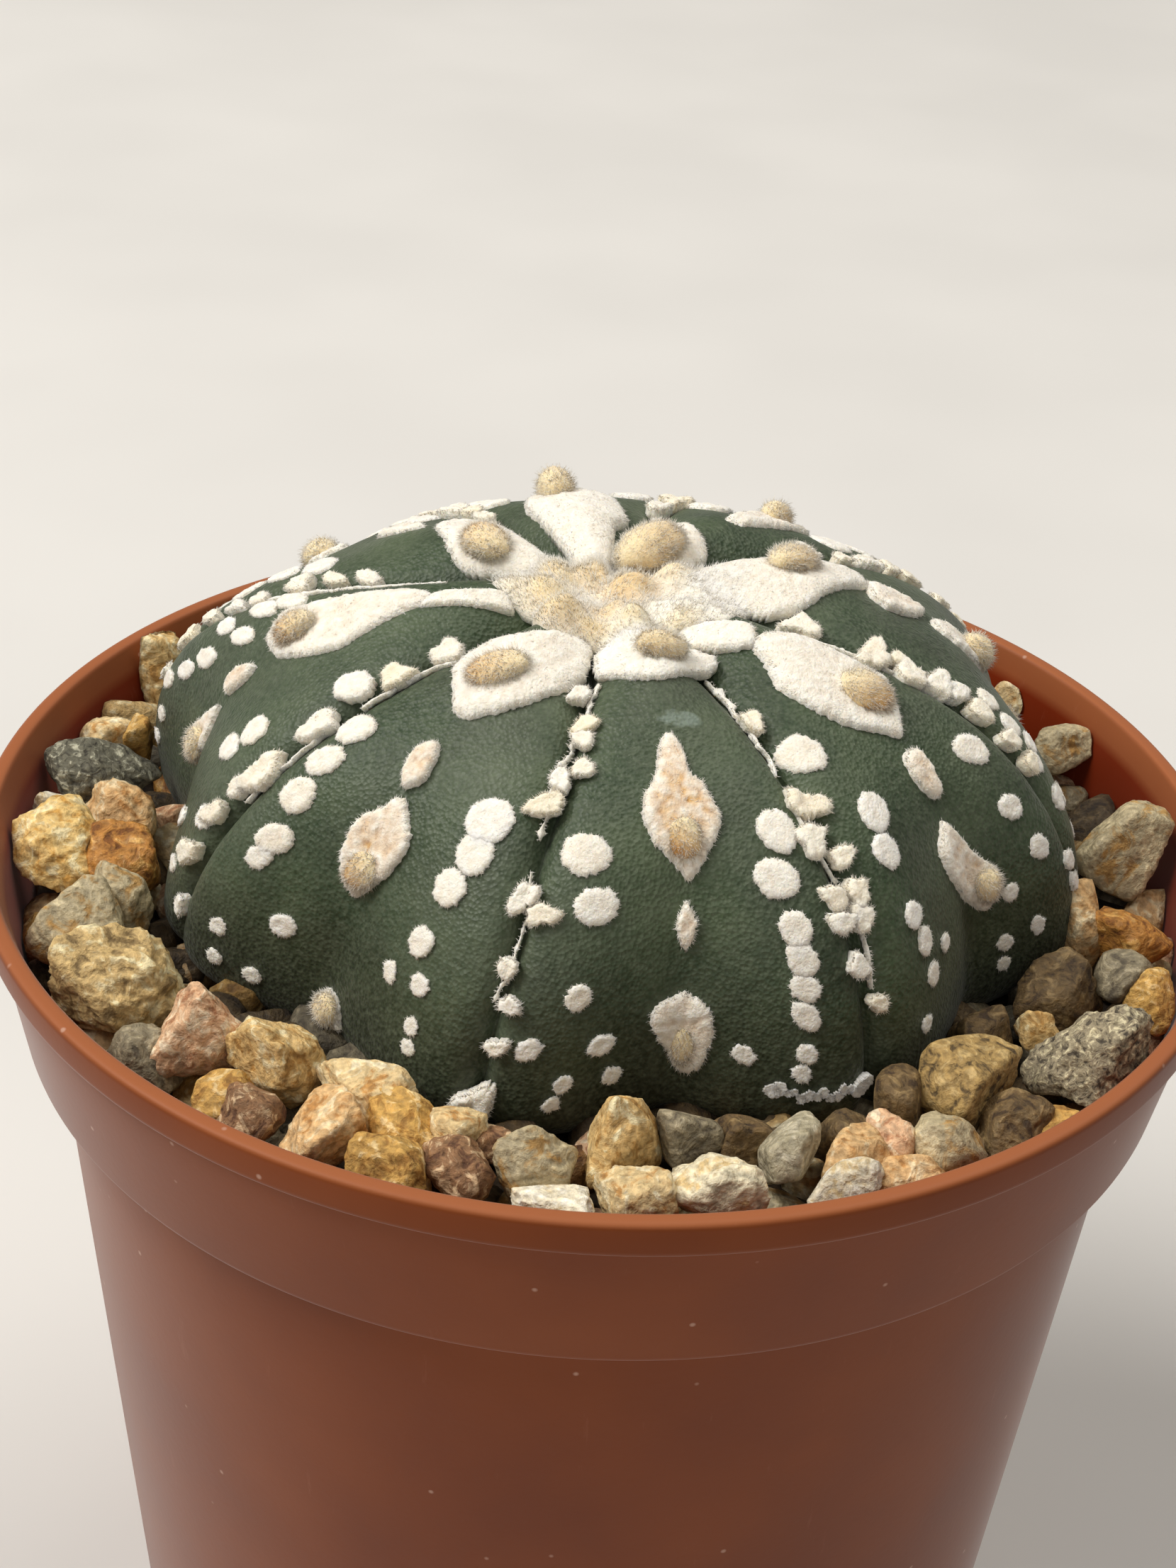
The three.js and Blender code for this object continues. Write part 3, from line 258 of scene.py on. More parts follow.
# Stones of the bed that the photograph shows: x, y, z, length, width, height, turn and kind
BED_STONES = [
    (-28.1, -11.0, 59.3, 5.4, 4.6, 4.6, 20, "quartz"), (-15.6, -21.0, 59.5, 4.8, 4.4, 5.0, -30, "ochre"),
    (-9.0, -26.0, 59.0, 4.8, 3.4, 3.6, -20, "gold"), (-13.1, -26.5, 59.3, 4.4, 4.0, 4.2, 30, "apricot"),
    (-16.5, -25.7, 59.0, 3.6, 3.2, 3.2, 0, "russet"), (-17.8, -24.0, 58.8, 3.4, 3.0, 2.8, 0, "gold"),
    (-22.6, -21.5, 58.8, 4.2, 3.4, 3.6, -40, "grey"), (-9.3, -28.6, 59.0, 4.2, 3.6, 3.4, -15, "gold"),
    (-6.2, -28.6, 59.0, 4.0, 3.2, 3.2, -10, "russet"), (-6.4, -26.2, 59.2, 3.2, 2.8, 3.0, 0, "cream"),
    (-4.5, -26.4, 58.9, 2.2, 1.9, 1.9, 0, "russet"), (-2.4, -27.9, 59.3, 4.4, 4.0, 4.2, 20, "quartz"),
    (-1.5, -30.6, 58.9, 4.2, 2.6, 2.4, -8, "white"), (4.9, -25.0, 59.0, 3.4, 3.0, 3.4, 0, "grey"),
    (7.8, -24.4, 58.6, 3.8, 2.8, 2.8, 0, "brown"), (2.2, -30.0, 59.1, 4.4, 3.2, 3.2, -15, "cream"),
    (12.6, -24.2, 59.0, 3.4, 3.2, 3.4, 30, "brown"), (12.9, -26.2, 59.2, 2.6, 4.2, 3.2, -40, "apricot"),
    (14.7, -24.9, 59.3, 3.0, 2.8, 2.8, 0, "pink"), (17.3, -24.7, 59.2, 3.8, 3.2, 3.4, 20, "quartz"),
    (12.3, -28.2, 59.2, 4.0, 2.4, 2.6, 10, "white"), (15.6, -26.9, 59.0, 4.8, 2.8, 2.4, 15, "apricot"),
    (15.4, -21.2, 59.0, 2.8, 3.8, 3.6, 0, "brown"), (20.7, -22.8, 59.0, 4.2, 3.4, 3.6, 30, "brown"),
    (22.9, -22.6, 58.9, 3.2, 2.4, 2.2, 45, "gold"), (20.3, -14.4, 58.2, 4.2, 3.4, 3.6, 40, "brown"),
    (24.4, -11.2, 59.0, 5.0, 4.0, 4.2, 50, "brown"), (23.2, -14.6, 59.0, 2.4, 2.0, 2.4, 0, "ochre"),
    (28.3, -10.0, 59.3, 4.0, 3.2, 3.4, 60, "grey"), (29.9, -11.2, 59.3, 3.6, 3.0, 3.2, 60, "gold"),
    (26.6, -5.6, 59.6, 2.6, 2.6, 5.0, 0, "apricot"), (28.4, 14.6, 59.0, 4.2, 3.8, 3.8, 0, "quartz"),
    (25.6, 21.4, 59.0, 3.2, 3.0, 2.8, 0, "cream"), (-28.1, 0.2, 59.0, 4.8, 4.0, 4.0, 0, "apricot"),
    (-27.0, -4.6, 59.2, 4.6, 4.2, 4.4, 0, "amber"), (-32.0, 1.0, 59.0, 3.0, 2.6, 2.6, 0, "white"),
    (-30.6, 8.6, 59.0, 3.4, 3.0, 3.2, 0, "cream"), (-28.4, 8.2, 59.3, 1.8, 2.2, 4.2, 0, "gold"),
    (-28.6, 16.6, 59.6, 4.2, 4.4, 6.0, 0, "ochre"), (-26.6, -8.0, 59.0, 4.2, 3.8, 4.0, 0, "quartz"),
]

# The loose stones: kind, length, width, height, turn and how much the top tapers, at the place of
# the node of that name
LOOSE_STONES = {
    "dark_slate": ("slate", 7.0, 3.6, 3.4, -6, 0.2),
    "yellow_lump": ("lemon", 5.8, 5.1, 4.8, 10, 0.1),
    "yellow_conglomerate": ("conglomerate", 6.9, 5.8, 5.6, -20, 0.1),
    "pink_wedge": ("pink", 5.6, 4.2, 5.8, 15, 0.35),
    "cream_slab": ("cream", 6.4, 3.2, 3.4, -28, 0.1),
    "ochre_pyramid": ("ochre", 4.6, 3.8, 5.0, 20, 0.45),
    "cream_quartz": ("cream_quartz", 5.8, 3.1, 3.8, -6, 0.2),
    "grey_quartz": ("clear", 3.9, 3.4, 3.9, 40, 0.0),
    "brown_pebble": ("pebble", 5.7, 4.4, 4.4, 40, 0.1),
    "speckled_granite": ("granite", 6.0, 5.3, 5.2, 50, 0.2),
    "grey_ochre": ("quartz", 5.8, 5.2, 5.6, 70, 0.2),
    "amber_quartz": ("amber", 4.4, 3.8, 3.6, -30, 0.0),
}


# Camera, light and floor

CAMERA_PLACE = (-1.14, -113.58, 133.0)
CAMERA_ELEVATION = math.radians(31.504)
CAMERA_ROLL = math.radians(-3.632)
CAMERA_LENS = 54.03
SENSOR_WIDTH = 36


def new_object(name, data):
    """An object that is linked into the scene."""
    made = bpy.data.objects.new(name, data)
    bpy.context.scene.collection.objects.link(made)
    return made


def make_camera():
    data = bpy.data.cameras.new("camera")
    data.lens = CAMERA_LENS
    data.sensor_width = SENSOR_WIDTH
    data.clip_start = 0.005
    data.clip_end = 20
    camera = new_object("camera", data)
    sin, cos = math.sin(CAMERA_ELEVATION), math.cos(CAMERA_ELEVATION)
    right, up, back = Vector((1, 0, 0)), Vector((0, sin, cos)), Vector((0, -cos, sin))
    turn_cos, turn_sin = math.cos(CAMERA_ROLL), math.sin(CAMERA_ROLL)
    across = turn_cos * right - turn_sin * up
    upward = turn_sin * right + turn_cos * up
    place = Matrix((across, upward, back)).transposed().to_4x4()
    place.translation = Vector(CAMERA_PLACE) * MM
    camera.matrix_world = place
    bpy.context.scene.camera = camera


def make_softbox(name, place, size, power, colour):
    """An area lamp that faces the plant."""
    data = bpy.data.lights.new(name, "AREA")
    data.shape = "DISK"
    data.size = size * MM
    data.energy = power
    data.color = colour
    lamp = new_object(name, data)
    lamp.location = Vector(place) * MM
    aim = Vector((0, 0, EQUATOR * MM)) - lamp.location
    lamp.rotation_euler = aim.to_track_quat("-Z", "Y").to_euler()


def make_light():
    world = bpy.data.worlds.new("studio")
    world.use_nodes = True
    background = world.node_tree.nodes["Background"]
    background.inputs["Color"].default_value = (1.0, 0.97, 0.93, 1)
    background.inputs["Strength"].default_value = 0.1
    bpy.context.scene.world = world
    make_softbox("window", (-1000, -100, 1400), 1100, 28, (1.0, 0.97, 0.93))
    make_softbox("ceiling", (600, 500, 1700), 1300, 14, (1.0, 0.96, 0.9))
    make_softbox("front_fill", (0, -1400, 1000), 900, 4.2, (1.0, 0.97, 0.94))
    bpy.context.scene.view_settings.view_transform = "Standard"


def make_floor(material):
    mesh = bpy.data.meshes.new("floor")
    mesh.from_pydata([(-3, -3, 0), (3, -3, 0), (3, 3, 0), (-3, 3, 0)], [], [[0, 1, 2, 3]])
    mesh.materials.append(material)
    new_object("floor", mesh)


# Materials

NOISE = "ShaderNodeTexNoise"
CELLS = "ShaderNodeTexVoronoi"
RAMP = "ShaderNodeValToRGB"
RANGE = "ShaderNodeMapRange"
MATH = "ShaderNodeMath"
MIX = "ShaderNodeMix"
MARK = "ShaderNodeAttribute"
BUMP = "ShaderNodeBump"
FACTOR, FIRST, SECOND, MIXED = 0, 6, 7, 2  # sockets of a Mix node that mixes colours


def linear(colour):
    """An sRGB hex value as the linear colour that a shader takes."""
    shares = [int(colour[i : i + 2], 16) / 255 for i in (1, 3, 5)]
    return [s / 12.92 if s <= 0.04045 else ((s + 0.055) / 1.055) ** 2.4 for s in shares] + [1.0]


def per(size):
    """A pattern's scale where it repeats every so many millimetres."""
    return 1 / (size * MM)


def wire(tree, node, inputs):
    """Sets a node's inputs to values, or links them to the outputs of other nodes."""
    for name, value in inputs.items():
        if isinstance(value, bpy.types.NodeSocket):
            tree.links.new(value, node.inputs[name])
        else:
            node.inputs[name].default_value = value


def add(tree, kind, inputs=None, stops=None, out=0, **settings):
    """Adds a node with its settings, inputs and a ramp's stops, and gives one of its outputs."""
    node = tree.nodes.new(kind)
    for name, value in settings.items():
        setattr(node, name, value)
    wire(tree, node, inputs or {})
    for i, (position, colour) in enumerate(stops or []):
        ramp = node.color_ramp.elements
        element = ramp[i] if i < 2 else ramp.new(position)
        element.position = position
        element.color = linear(colour) if isinstance(colour, str) else (colour, colour, colour, 1)
    return node.outputs[out]


def new_material(name):
    """An empty material with its shader, and the object's coordinates in metres."""
    material = bpy.data.materials.new(name)
    material.use_nodes = True
    tree = material.node_tree
    coords = add(tree, "ShaderNodeTexCoord", out="Object")
    return material, tree, tree.nodes["Principled BSDF"], coords


def moulded_polypropylene():
    """Brown polypropylene from an injection mould: dull, hazy, with flow marks, dust and scuffs."""
    material, tree, shader, coords = new_material("moulded_polypropylene")
    haze = add(tree, NOISE, {"Vector": coords, "Scale": per(16), "Detail": 3.0})
    colour = add(tree, RAMP, {"Fac": haze}, [(0.3, "#6e320f"), (0.5, "#783912"), (0.75, "#83431d")])
    lip = add(tree, MARK, out="Fac", attribute_name="lip")
    # Painted shade: the inside of the pot is marked darker deeper down
    inside = add(tree, MARK, out="Fac", attribute_name="inside")
    stretch = add(tree, "ShaderNodeMapping", {"Vector": coords, "Scale": (1, 1, 0.12)})
    rubbed = add(tree, NOISE, {"Vector": stretch, "Scale": per(1.1), "Detail": 6.0, "Roughness": 0.7})
    scuff = add(tree, RAMP, {"Fac": rubbed}, [(0.64, 0.0), (0.82, 0.3)])
    specks = add(tree, CELLS, {"Vector": coords, "Scale": per(2.6)})
    dust = add(tree, RAMP, {"Fac": specks}, [(0.03, 0.55), (0.07, 0.0)])
    # Painted highlight makes the lip's top face and the upper inner wall paler, painted shade keeps the
    # inside darker deeper down, and scuffs and dust lie over both
    for share, over in ((lip, "#a0603c"), (inside, "#722405"), (scuff, "#a8735c"), (dust, "#c9a592")):
        inputs = {FACTOR: share, FIRST: colour, SECOND: linear(over)}
        colour = add(tree, MIX, inputs, out=MIXED, data_type="RGBA")
    dullness = add(tree, RANGE, {"Value": haze, "To Min": 0.42, "To Max": 0.58})
    grain = add(tree, NOISE, {"Vector": coords, "Scale": per(0.5), "Detail": 4.0})
    bump = add(tree, BUMP, {"Height": grain, "Strength": 0.12, "Distance": 0.05 * MM})
    look = {
        "Base Color": colour, "Roughness": dullness, "Normal": bump, "IOR": 1.49,
        "Specular IOR Level": 0.14, "Sheen Weight": 0.26, "Sheen Roughness": 0.35,
    }
    wire(tree, shader, look)
    return material


def waxy_epidermis():
    """The plant's skin: dark blue-green under a thin grey wax, finely granular, olive and darkened with
    painted shade at the foot.
    """
    material, tree, shader, coords = new_material("waxy_epidermis")
    patches = add(tree, NOISE, {"Vector": coords, "Scale": per(5), "Detail": 5.0})
    colour = add(tree, RAMP, {"Fac": patches}, [(0.32, "#24321d"), (0.5, "#304129"), (0.7, "#455439")])
    wax = add(tree, NOISE, {"Vector": coords, "Scale": per(11), "Detail": 4.0})
    bloom = add(tree, RAMP, {"Fac": wax}, [(0.45, 0.0), (0.72, 0.42)])
    # Painted shade, partly the skin's own olive: the foot darkens towards near black
    low = add(tree, MARK, out="Fac", attribute_name="low")
    scar = add(tree, MARK, out="Fac", attribute_name="scar")
    flakes = add(tree, NOISE, {"Vector": coords, "Scale": per(0.5), "Detail": 4.0})
    torn = add(tree, MATH, {0: scar, 1: flakes}, operation="MULTIPLY")
    bare = add(tree, RAMP, {"Fac": torn}, [(0.26, 0.0), (0.4, 0.75)])
    fine = add(tree, NOISE, {"Vector": coords, "Scale": per(0.3), "Detail": 3.0})
    grain = add(tree, RAMP, {"Fac": fine}, [(0.35, 0.0), (0.72, 0.35)])
    for share, over in ((bloom, "#6b715d"), (low, "#1d200f"), (bare, "#7d8b80"), (grain, "#747d67")):
        inputs = {FACTOR: share, FIRST: colour, SECOND: linear(over)}
        colour = add(tree, MIX, inputs, out=MIXED, data_type="RGBA")
    # Papillae about 0.12 mm wide, drawn at 0.22 mm so that they show
    papillae = add(tree, CELLS, {"Vector": coords, "Scale": per(0.22)})
    bump = add(tree, BUMP, {"Height": papillae, "Strength": 0.7, "Distance": 0.09 * MM})
    look = {
        "Base Color": colour, "Normal": bump, "Roughness": 0.5, "IOR": 1.4, "Sheen Weight": 0.07,
        "Sheen Roughness": 0.45, "Subsurface Weight": 0.08, "Subsurface Radius": (0.5, 0.9, 0.3),
        "Subsurface Scale": 1.0 * MM,
    }
    wire(tree, shader, look)
    return material


def felted_trichomes():
    """Felt of white plant hairs: slightly darker where it is matted, cream or tan where it is marked."""
    material, tree, shader, coords = new_material("felted_trichomes")
    matted = add(tree, NOISE, {"Vector": coords, "Scale": per(0.45), "Detail": 5.0})
    colour = add(tree, RAMP, {"Fac": matted}, [(0.3, "#efe9dc"), (0.62, "#fdfaf2")])
    tan = add(tree, RAMP, {"Fac": matted}, [(0.3, "#bb8440"), (0.65, "#e6b972")])
    yellow = add(tree, MARK, out="Fac", attribute_name="yellow")
    brown = add(tree, MARK, out="Fac", attribute_name="brown")
    for share, over in ((yellow, linear("#f6dea2")), (brown, tan)):
        inputs = {FACTOR: share, FIRST: colour, SECOND: over}
        colour = add(tree, MIX, inputs, out=MIXED, data_type="RGBA")
    fibre = add(tree, NOISE, {"Vector": coords, "Scale": per(0.16), "Detail": 3.0})
    bump = add(tree, BUMP, {"Height": fibre, "Strength": 0.8, "Distance": 0.12 * MM})
    look = {
        "Base Color": colour, "Normal": bump, "Roughness": 0.95, "Specular IOR Level": 0.15,
        "Sheen Weight": 0.35, "Sheen Roughness": 0.6, "Subsurface Weight": 0.35,
        "Subsurface Radius": (1.0, 0.85, 0.6), "Subsurface Scale": 0.4 * MM,
    }
    wire(tree, shader, look)
    return material


# Kinds of rock in the grit: dark, middle and pale colours, mottle size in millimetres, how glassy the
# pale crystals are and how rugged the stone is
ROCKS = {
    "slate": ("#3d392e", "#6b6857", "#b4b19a", 0.6, 0.2, 0.9),
    "gold": ("#a07434", "#cda155", "#eacb90", 1.0, 0.3, 1.1),
    "ochre": ("#ab8143", "#d6b478", "#efdfb2", 1.2, 0.3, 1.3),
    "lemon": ("#c8984a", "#e2c07c", "#f4e2b0", 1.2, 0.2, 1.5),
    "cream": ("#c08f50", "#e0c591", "#f2e3bc", 1.2, 0.3, 1.2),
    "apricot": ("#b8854a", "#d8b17c", "#ecd5aa", 1.2, 0.4, 1.0),
    "quartz": ("#b08a50", "#b8a986", "#d8c8a0", 1.4, 0.8, 1.0),
    "white": ("#d2ba8c", "#e6dbc0", "#f4edda", 1.1, 0.5, 1.1),
    "cream_quartz": ("#dcc08a", "#efe3c2", "#c6bb9e", 1.3, 0.9, 1.4),
    "clear": ("#90866c", "#aca287", "#cac0a6", 1.0, 0.9, 0.5),
    "conglomerate": ("#8c744a", "#ceb077", "#efdfb0", 1.2, 0.4, 1.7),
    "pink": ("#b27d57", "#dbb189", "#f1dab8", 0.9, 0.4, 1.4),
    "pebble": ("#5e4b2c", "#a98b54", "#c4a76f", 0.9, 0.2, 0.5),
    "granite": ("#554c3e", "#a4977b", "#e2d5ae", 0.4, 0.3, 1.9),
    "amber": ("#7a4a1a", "#b47c36", "#dfae64", 1.1, 0.9, 0.9),
    "brown": ("#41301c", "#6b5533", "#8c744c", 1.1, 0.3, 0.8),
    "grey": ("#5e5443", "#857a61", "#aa9d80", 1.1, 0.5, 0.8),
    "russet": ("#5e3d26", "#8f6a48", "#d6b78f", 0.9, 0.3, 1.2),
}


def crushed_rock(kind):
    """Washed grit: mottled stony colours, glassier where the pale crystals are, with fine dark pits."""
    dark, middle, pale, size, glassy, _ = ROCKS[kind]
    material, tree, shader, coords = new_material("crushed_" + kind)
    grown = {"Vector": coords, "Scale": per(size), "Detail": 6.0, "Roughness": 0.6, "Distortion": 0.7}
    mottle = add(tree, NOISE, grown)
    bands = [(0.38, dark), (0.47, middle), (0.54, middle), (0.61, pale)]
    colour = add(tree, RAMP, {"Fac": mottle}, bands)
    speckle = add(tree, NOISE, {"Vector": coords, "Scale": per(0.35), "Detail": 4.0})
    pitted = {"Value": speckle, "From Min": 0.34, "From Max": 0.66, "To Min": 0.62, "To Max": 1.1}
    # Painted shade: each stone is darkened in its cracks and dips
    hollow = add(tree, MARK, out="Fac", attribute_name="hollow")
    tone = add(tree, MARK, out="Fac", attribute_name="tone")
    depth = add(tree, RANGE, {"Value": hollow, "To Min": 1.0, "To Max": 0.4})
    for share in (tone, add(tree, RANGE, pitted)):
        depth = add(tree, MATH, {0: depth, 1: share}, operation="MULTIPLY")
    inputs = {FACTOR: 1.0, FIRST: colour, SECOND: depth}
    shaded = add(tree, MIX, inputs, out=MIXED, data_type="RGBA", blend_type="MULTIPLY")
    dull, shiny = 0.8, 0.8 - 0.5 * glassy
    shine = {"Value": mottle, "From Min": 0.45, "From Max": 0.6, "To Min": dull, "To Max": shiny}
    pits = add(tree, BUMP, {"Height": speckle, "Strength": 0.8, "Distance": 0.2 * MM})
    lumps = add(tree, BUMP, {"Height": mottle, "Strength": 0.6, "Distance": 0.5 * MM, "Normal": pits})
    look = {
        "Base Color": shaded, "Roughness": add(tree, RANGE, shine), "Normal": lumps, "IOR": 1.5,
        "Subsurface Weight": 0.12, "Subsurface Radius": (1.0, 0.8, 0.5), "Subsurface Scale": 0.6 * MM,
    }
    wire(tree, shader, look)
    return material


def peat_mix(name, dark, pale):
    """Damp peat and grit, or a corky root: dark brown with paler crumbs."""
    material, tree, shader, coords = new_material(name)
    crumbs = add(tree, NOISE, {"Vector": coords, "Scale": per(1.2), "Detail": 8.0})
    colour = add(tree, RAMP, {"Fac": crumbs}, [(0.4, dark), (0.68, pale)])
    bump = add(tree, BUMP, {"Height": crumbs, "Strength": 0.9, "Distance": 0.5 * MM})
    wire(tree, shader, {"Base Color": colour, "Normal": bump, "Roughness": 0.95})
    return material


def matt_board():
    """A pale painted board under the pot, hardly mottled."""
    material, tree, shader, coords = new_material("matt_board")
    tone = add(tree, NOISE, {"Vector": coords, "Scale": per(60), "Detail": 2.0})
    colour = add(tree, RAMP, {"Fac": tone}, [(0.35, "#d7d5d1"), (0.65, "#dcdad6")])
    wire(tree, shader, {"Base Color": colour, "Roughness": 0.8})
    return material


# Meshes


class Bundle:
    """Closed shapes that are fused into one mesh, with a number for each point under each mark."""

    def __init__(self):
        self.points = []
        self.faces = []
        self.marks = {}
        self.count = 0

    def add(self, points, faces, **marks):
        self.points.append(points)
        self.faces.extend([[i + self.count for i in face] for face in faces])
        for name, value in marks.items():
            values = np.broadcast_to(np.asarray(value, float), len(points))
            self.marks.setdefault(name, []).append(values)
        self.count += len(points)

    def piece(self, name, material, slot, *nodes):
        mesh = bpy.data.meshes.new(name)
        mesh.from_pydata(np.concatenate(self.points) * MM, [], self.faces)
        for mark, values in self.marks.items():
            layer = mesh.attributes.new(mark, "FLOAT", "POINT")
            layer.data.foreach_set("value", np.concatenate(values).astype(np.float32))
        mesh.polygons.foreach_set("use_smooth", np.ones(len(mesh.polygons), bool))
        mesh.materials.append(material)
        mesh.update()
        made = new_object(name, mesh)
        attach(made, "root")
        if nodes:
            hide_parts(*nodes)
        return made


def rumple(points, size, seed=0.0):
    """Smooth noise from -1 to 1 at each point, with lumps of about the given size."""
    shift = Vector((seed * 7.13, seed * 3.77, seed * 5.41))
    return np.array([noise.noise(Vector(point) / size + shift) for point in points])


def ring_faces(rows, columns):
    """Faces of a closed skin: a tip, rows of points that close on themselves, and a tip."""
    faces = []
    for j in range(columns):
        following = (j + 1) % columns
        faces.append([0, 1 + j, 1 + following])
        for i in range(rows - 1):
            start = 1 + i * columns
            faces.append(
                [start + j, start + columns + j, start + columns + following, start + following]
            )
        last = 1 + (rows - 1) * columns
        faces.append([last + j, rows * columns + 1, last + following])
    return faces


def turned_rows(profile, sides, wobble=0.0):
    """Points round the axis for each (radius, height) point, slightly oval with some wobble."""
    angles = np.arange(sides) * 2 * math.pi / sides
    profile = np.array(profile, float)
    radius = profile[:, :1] * (1 + wobble * np.sin(2 * angles + 0.7))
    rows = [radius * np.cos(angles), radius * np.sin(angles), radius * 0 + profile[:, 1:]]
    return np.stack(rows, axis=-1).reshape(-1, 3)


def turned(profile, sides, wobble=0.0):
    """A closed round skin from (radius, height) points that start and end on the axis."""
    top, *inner, bottom = profile
    points = [[(0, 0, top[1])], turned_rows(inner, sides, wobble), [(0, 0, bottom[1])]]
    return np.concatenate(points), ring_faces(len(inner), sides)


# The pot


POT_SIDES = 240
POT_OVALITY = 0.0012
CORNER_STEPS = 5
CORNER_RADIUS = 0.15


def rounded(profile):
    """The profile with its corners rounded off, each by its own third value where it has one."""
    line = [Vector(point[:2]) for point in profile]
    out = [tuple(line[0])]
    for before, point, after, source in zip(line, line[1:], line[2:], profile[1:]):
        towards, away = before - point, after - point
        size = source[2] if len(source) > 2 else CORNER_RADIUS
        size = min(size, towards.length * 0.48, away.length * 0.48)
        start, end = point + towards.normalized() * size, point + away.normalized() * size
        for i in range(CORNER_STEPS + 1):
            share = i / CORNER_STEPS
            out.append(tuple(start.lerp(point, share).lerp(point.lerp(end, share), share)))
    out.append(tuple(line[-1]))
    return out


def make_pot(material):
    collar_foot = POT_HEIGHT - COLLAR_HEIGHT
    collar_top = RIM_RADIUS - COLLAR_INSET
    bead = POT_HEIGHT - BEAD_HEIGHT
    floor = BASE_RECESS + 1
    inner_foot = FOOT_RADIUS + (NECK_RADIUS - FOOT_RADIUS) * floor / collar_foot - WALL
    outside = [
        (0, BASE_RECESS), (FOOT_RADIUS - FOOT_WIDTH - 1, BASE_RECESS), (FOOT_RADIUS - FOOT_WIDTH, 0),
        (FOOT_RADIUS, 0, 0.7), (NECK_RADIUS, collar_foot, 0.25),
        (COLLAR_RADIUS, collar_foot, 0.45), (collar_top, bead - 0.25, 0.3), (RIM_RADIUS, bead, 0.35),
        (RIM_RADIUS, POT_HEIGHT, 0.4),
    ]
    inside = [
        (RIM_RADIUS - WALL - 0.05, POT_HEIGHT, 0.3), (collar_top - WALL, bead, 0.6),
        (COLLAR_RADIUS - WALL, collar_foot + 1), (NECK_RADIUS - WALL, collar_foot - 1),
        (inner_foot, floor, 0.8), (0, floor),
    ]
    points, faces = turned(rounded(outside + inside), POT_SIDES, POT_OVALITY)
    radius = np.hypot(points[:, 0], points[:, 1])
    height = points[:, 2]
    wall_middle = np.interp(
        height,
        [0, collar_foot, collar_foot + 0.5, bead, POT_HEIGHT],
        np.array([FOOT_RADIUS, NECK_RADIUS, COLLAR_RADIUS, collar_top, RIM_RADIUS]) - WALL / 2,
    )
    inner = (radius < wall_middle) & (height > floor)
    # Painted highlight: the rim's upward face and the inner wall near the top are marked paler
    face_up = np.clip((height - POT_HEIGHT + 0.25) / 0.2, 0, 1)
    pot = Bundle()
    # Painted shade: the inner wall is marked darker from about 1.2 mm below the rim downwards
    inside_shade = inner * np.clip((POT_HEIGHT - 1.2 - height) / 0.8, 0, 1)
    pot.add(points, faces, inside=inside_shade, lip=np.maximum(inner * 0.6, face_up * 0.9))
    made = pot.piece("nursery_pot", material, "pot", "pot")
    for i in range(DRAIN_COUNT):
        angle = 2 * math.pi * (i + 0.25) / DRAIN_COUNT
        place = (DRAIN_CIRCLE * math.cos(angle) * MM, DRAIN_CIRCLE * math.sin(angle) * MM, 2 * MM)
        drill = bmesh.new()
        bmesh.ops.create_cone(
            drill, cap_ends=True, segments=32, radius1=DRAIN_RADIUS * MM, radius2=DRAIN_RADIUS * MM,
            depth=6 * MM, matrix=Matrix.Translation(place),
        )
        mesh = bpy.data.meshes.new("drill")
        drill.to_mesh(mesh)
        drill.free()
        cutter = new_object("drill", mesh)
        cut = made.modifiers.new("drain_hole", "BOOLEAN")
        cut.operation = "DIFFERENCE"
        cut.object = cutter
        with bpy.context.temp_override(object=made, active_object=made):
            bpy.ops.object.modifier_apply(modifier=cut.name)
        bpy.data.objects.remove(cutter)


# The plant's skin


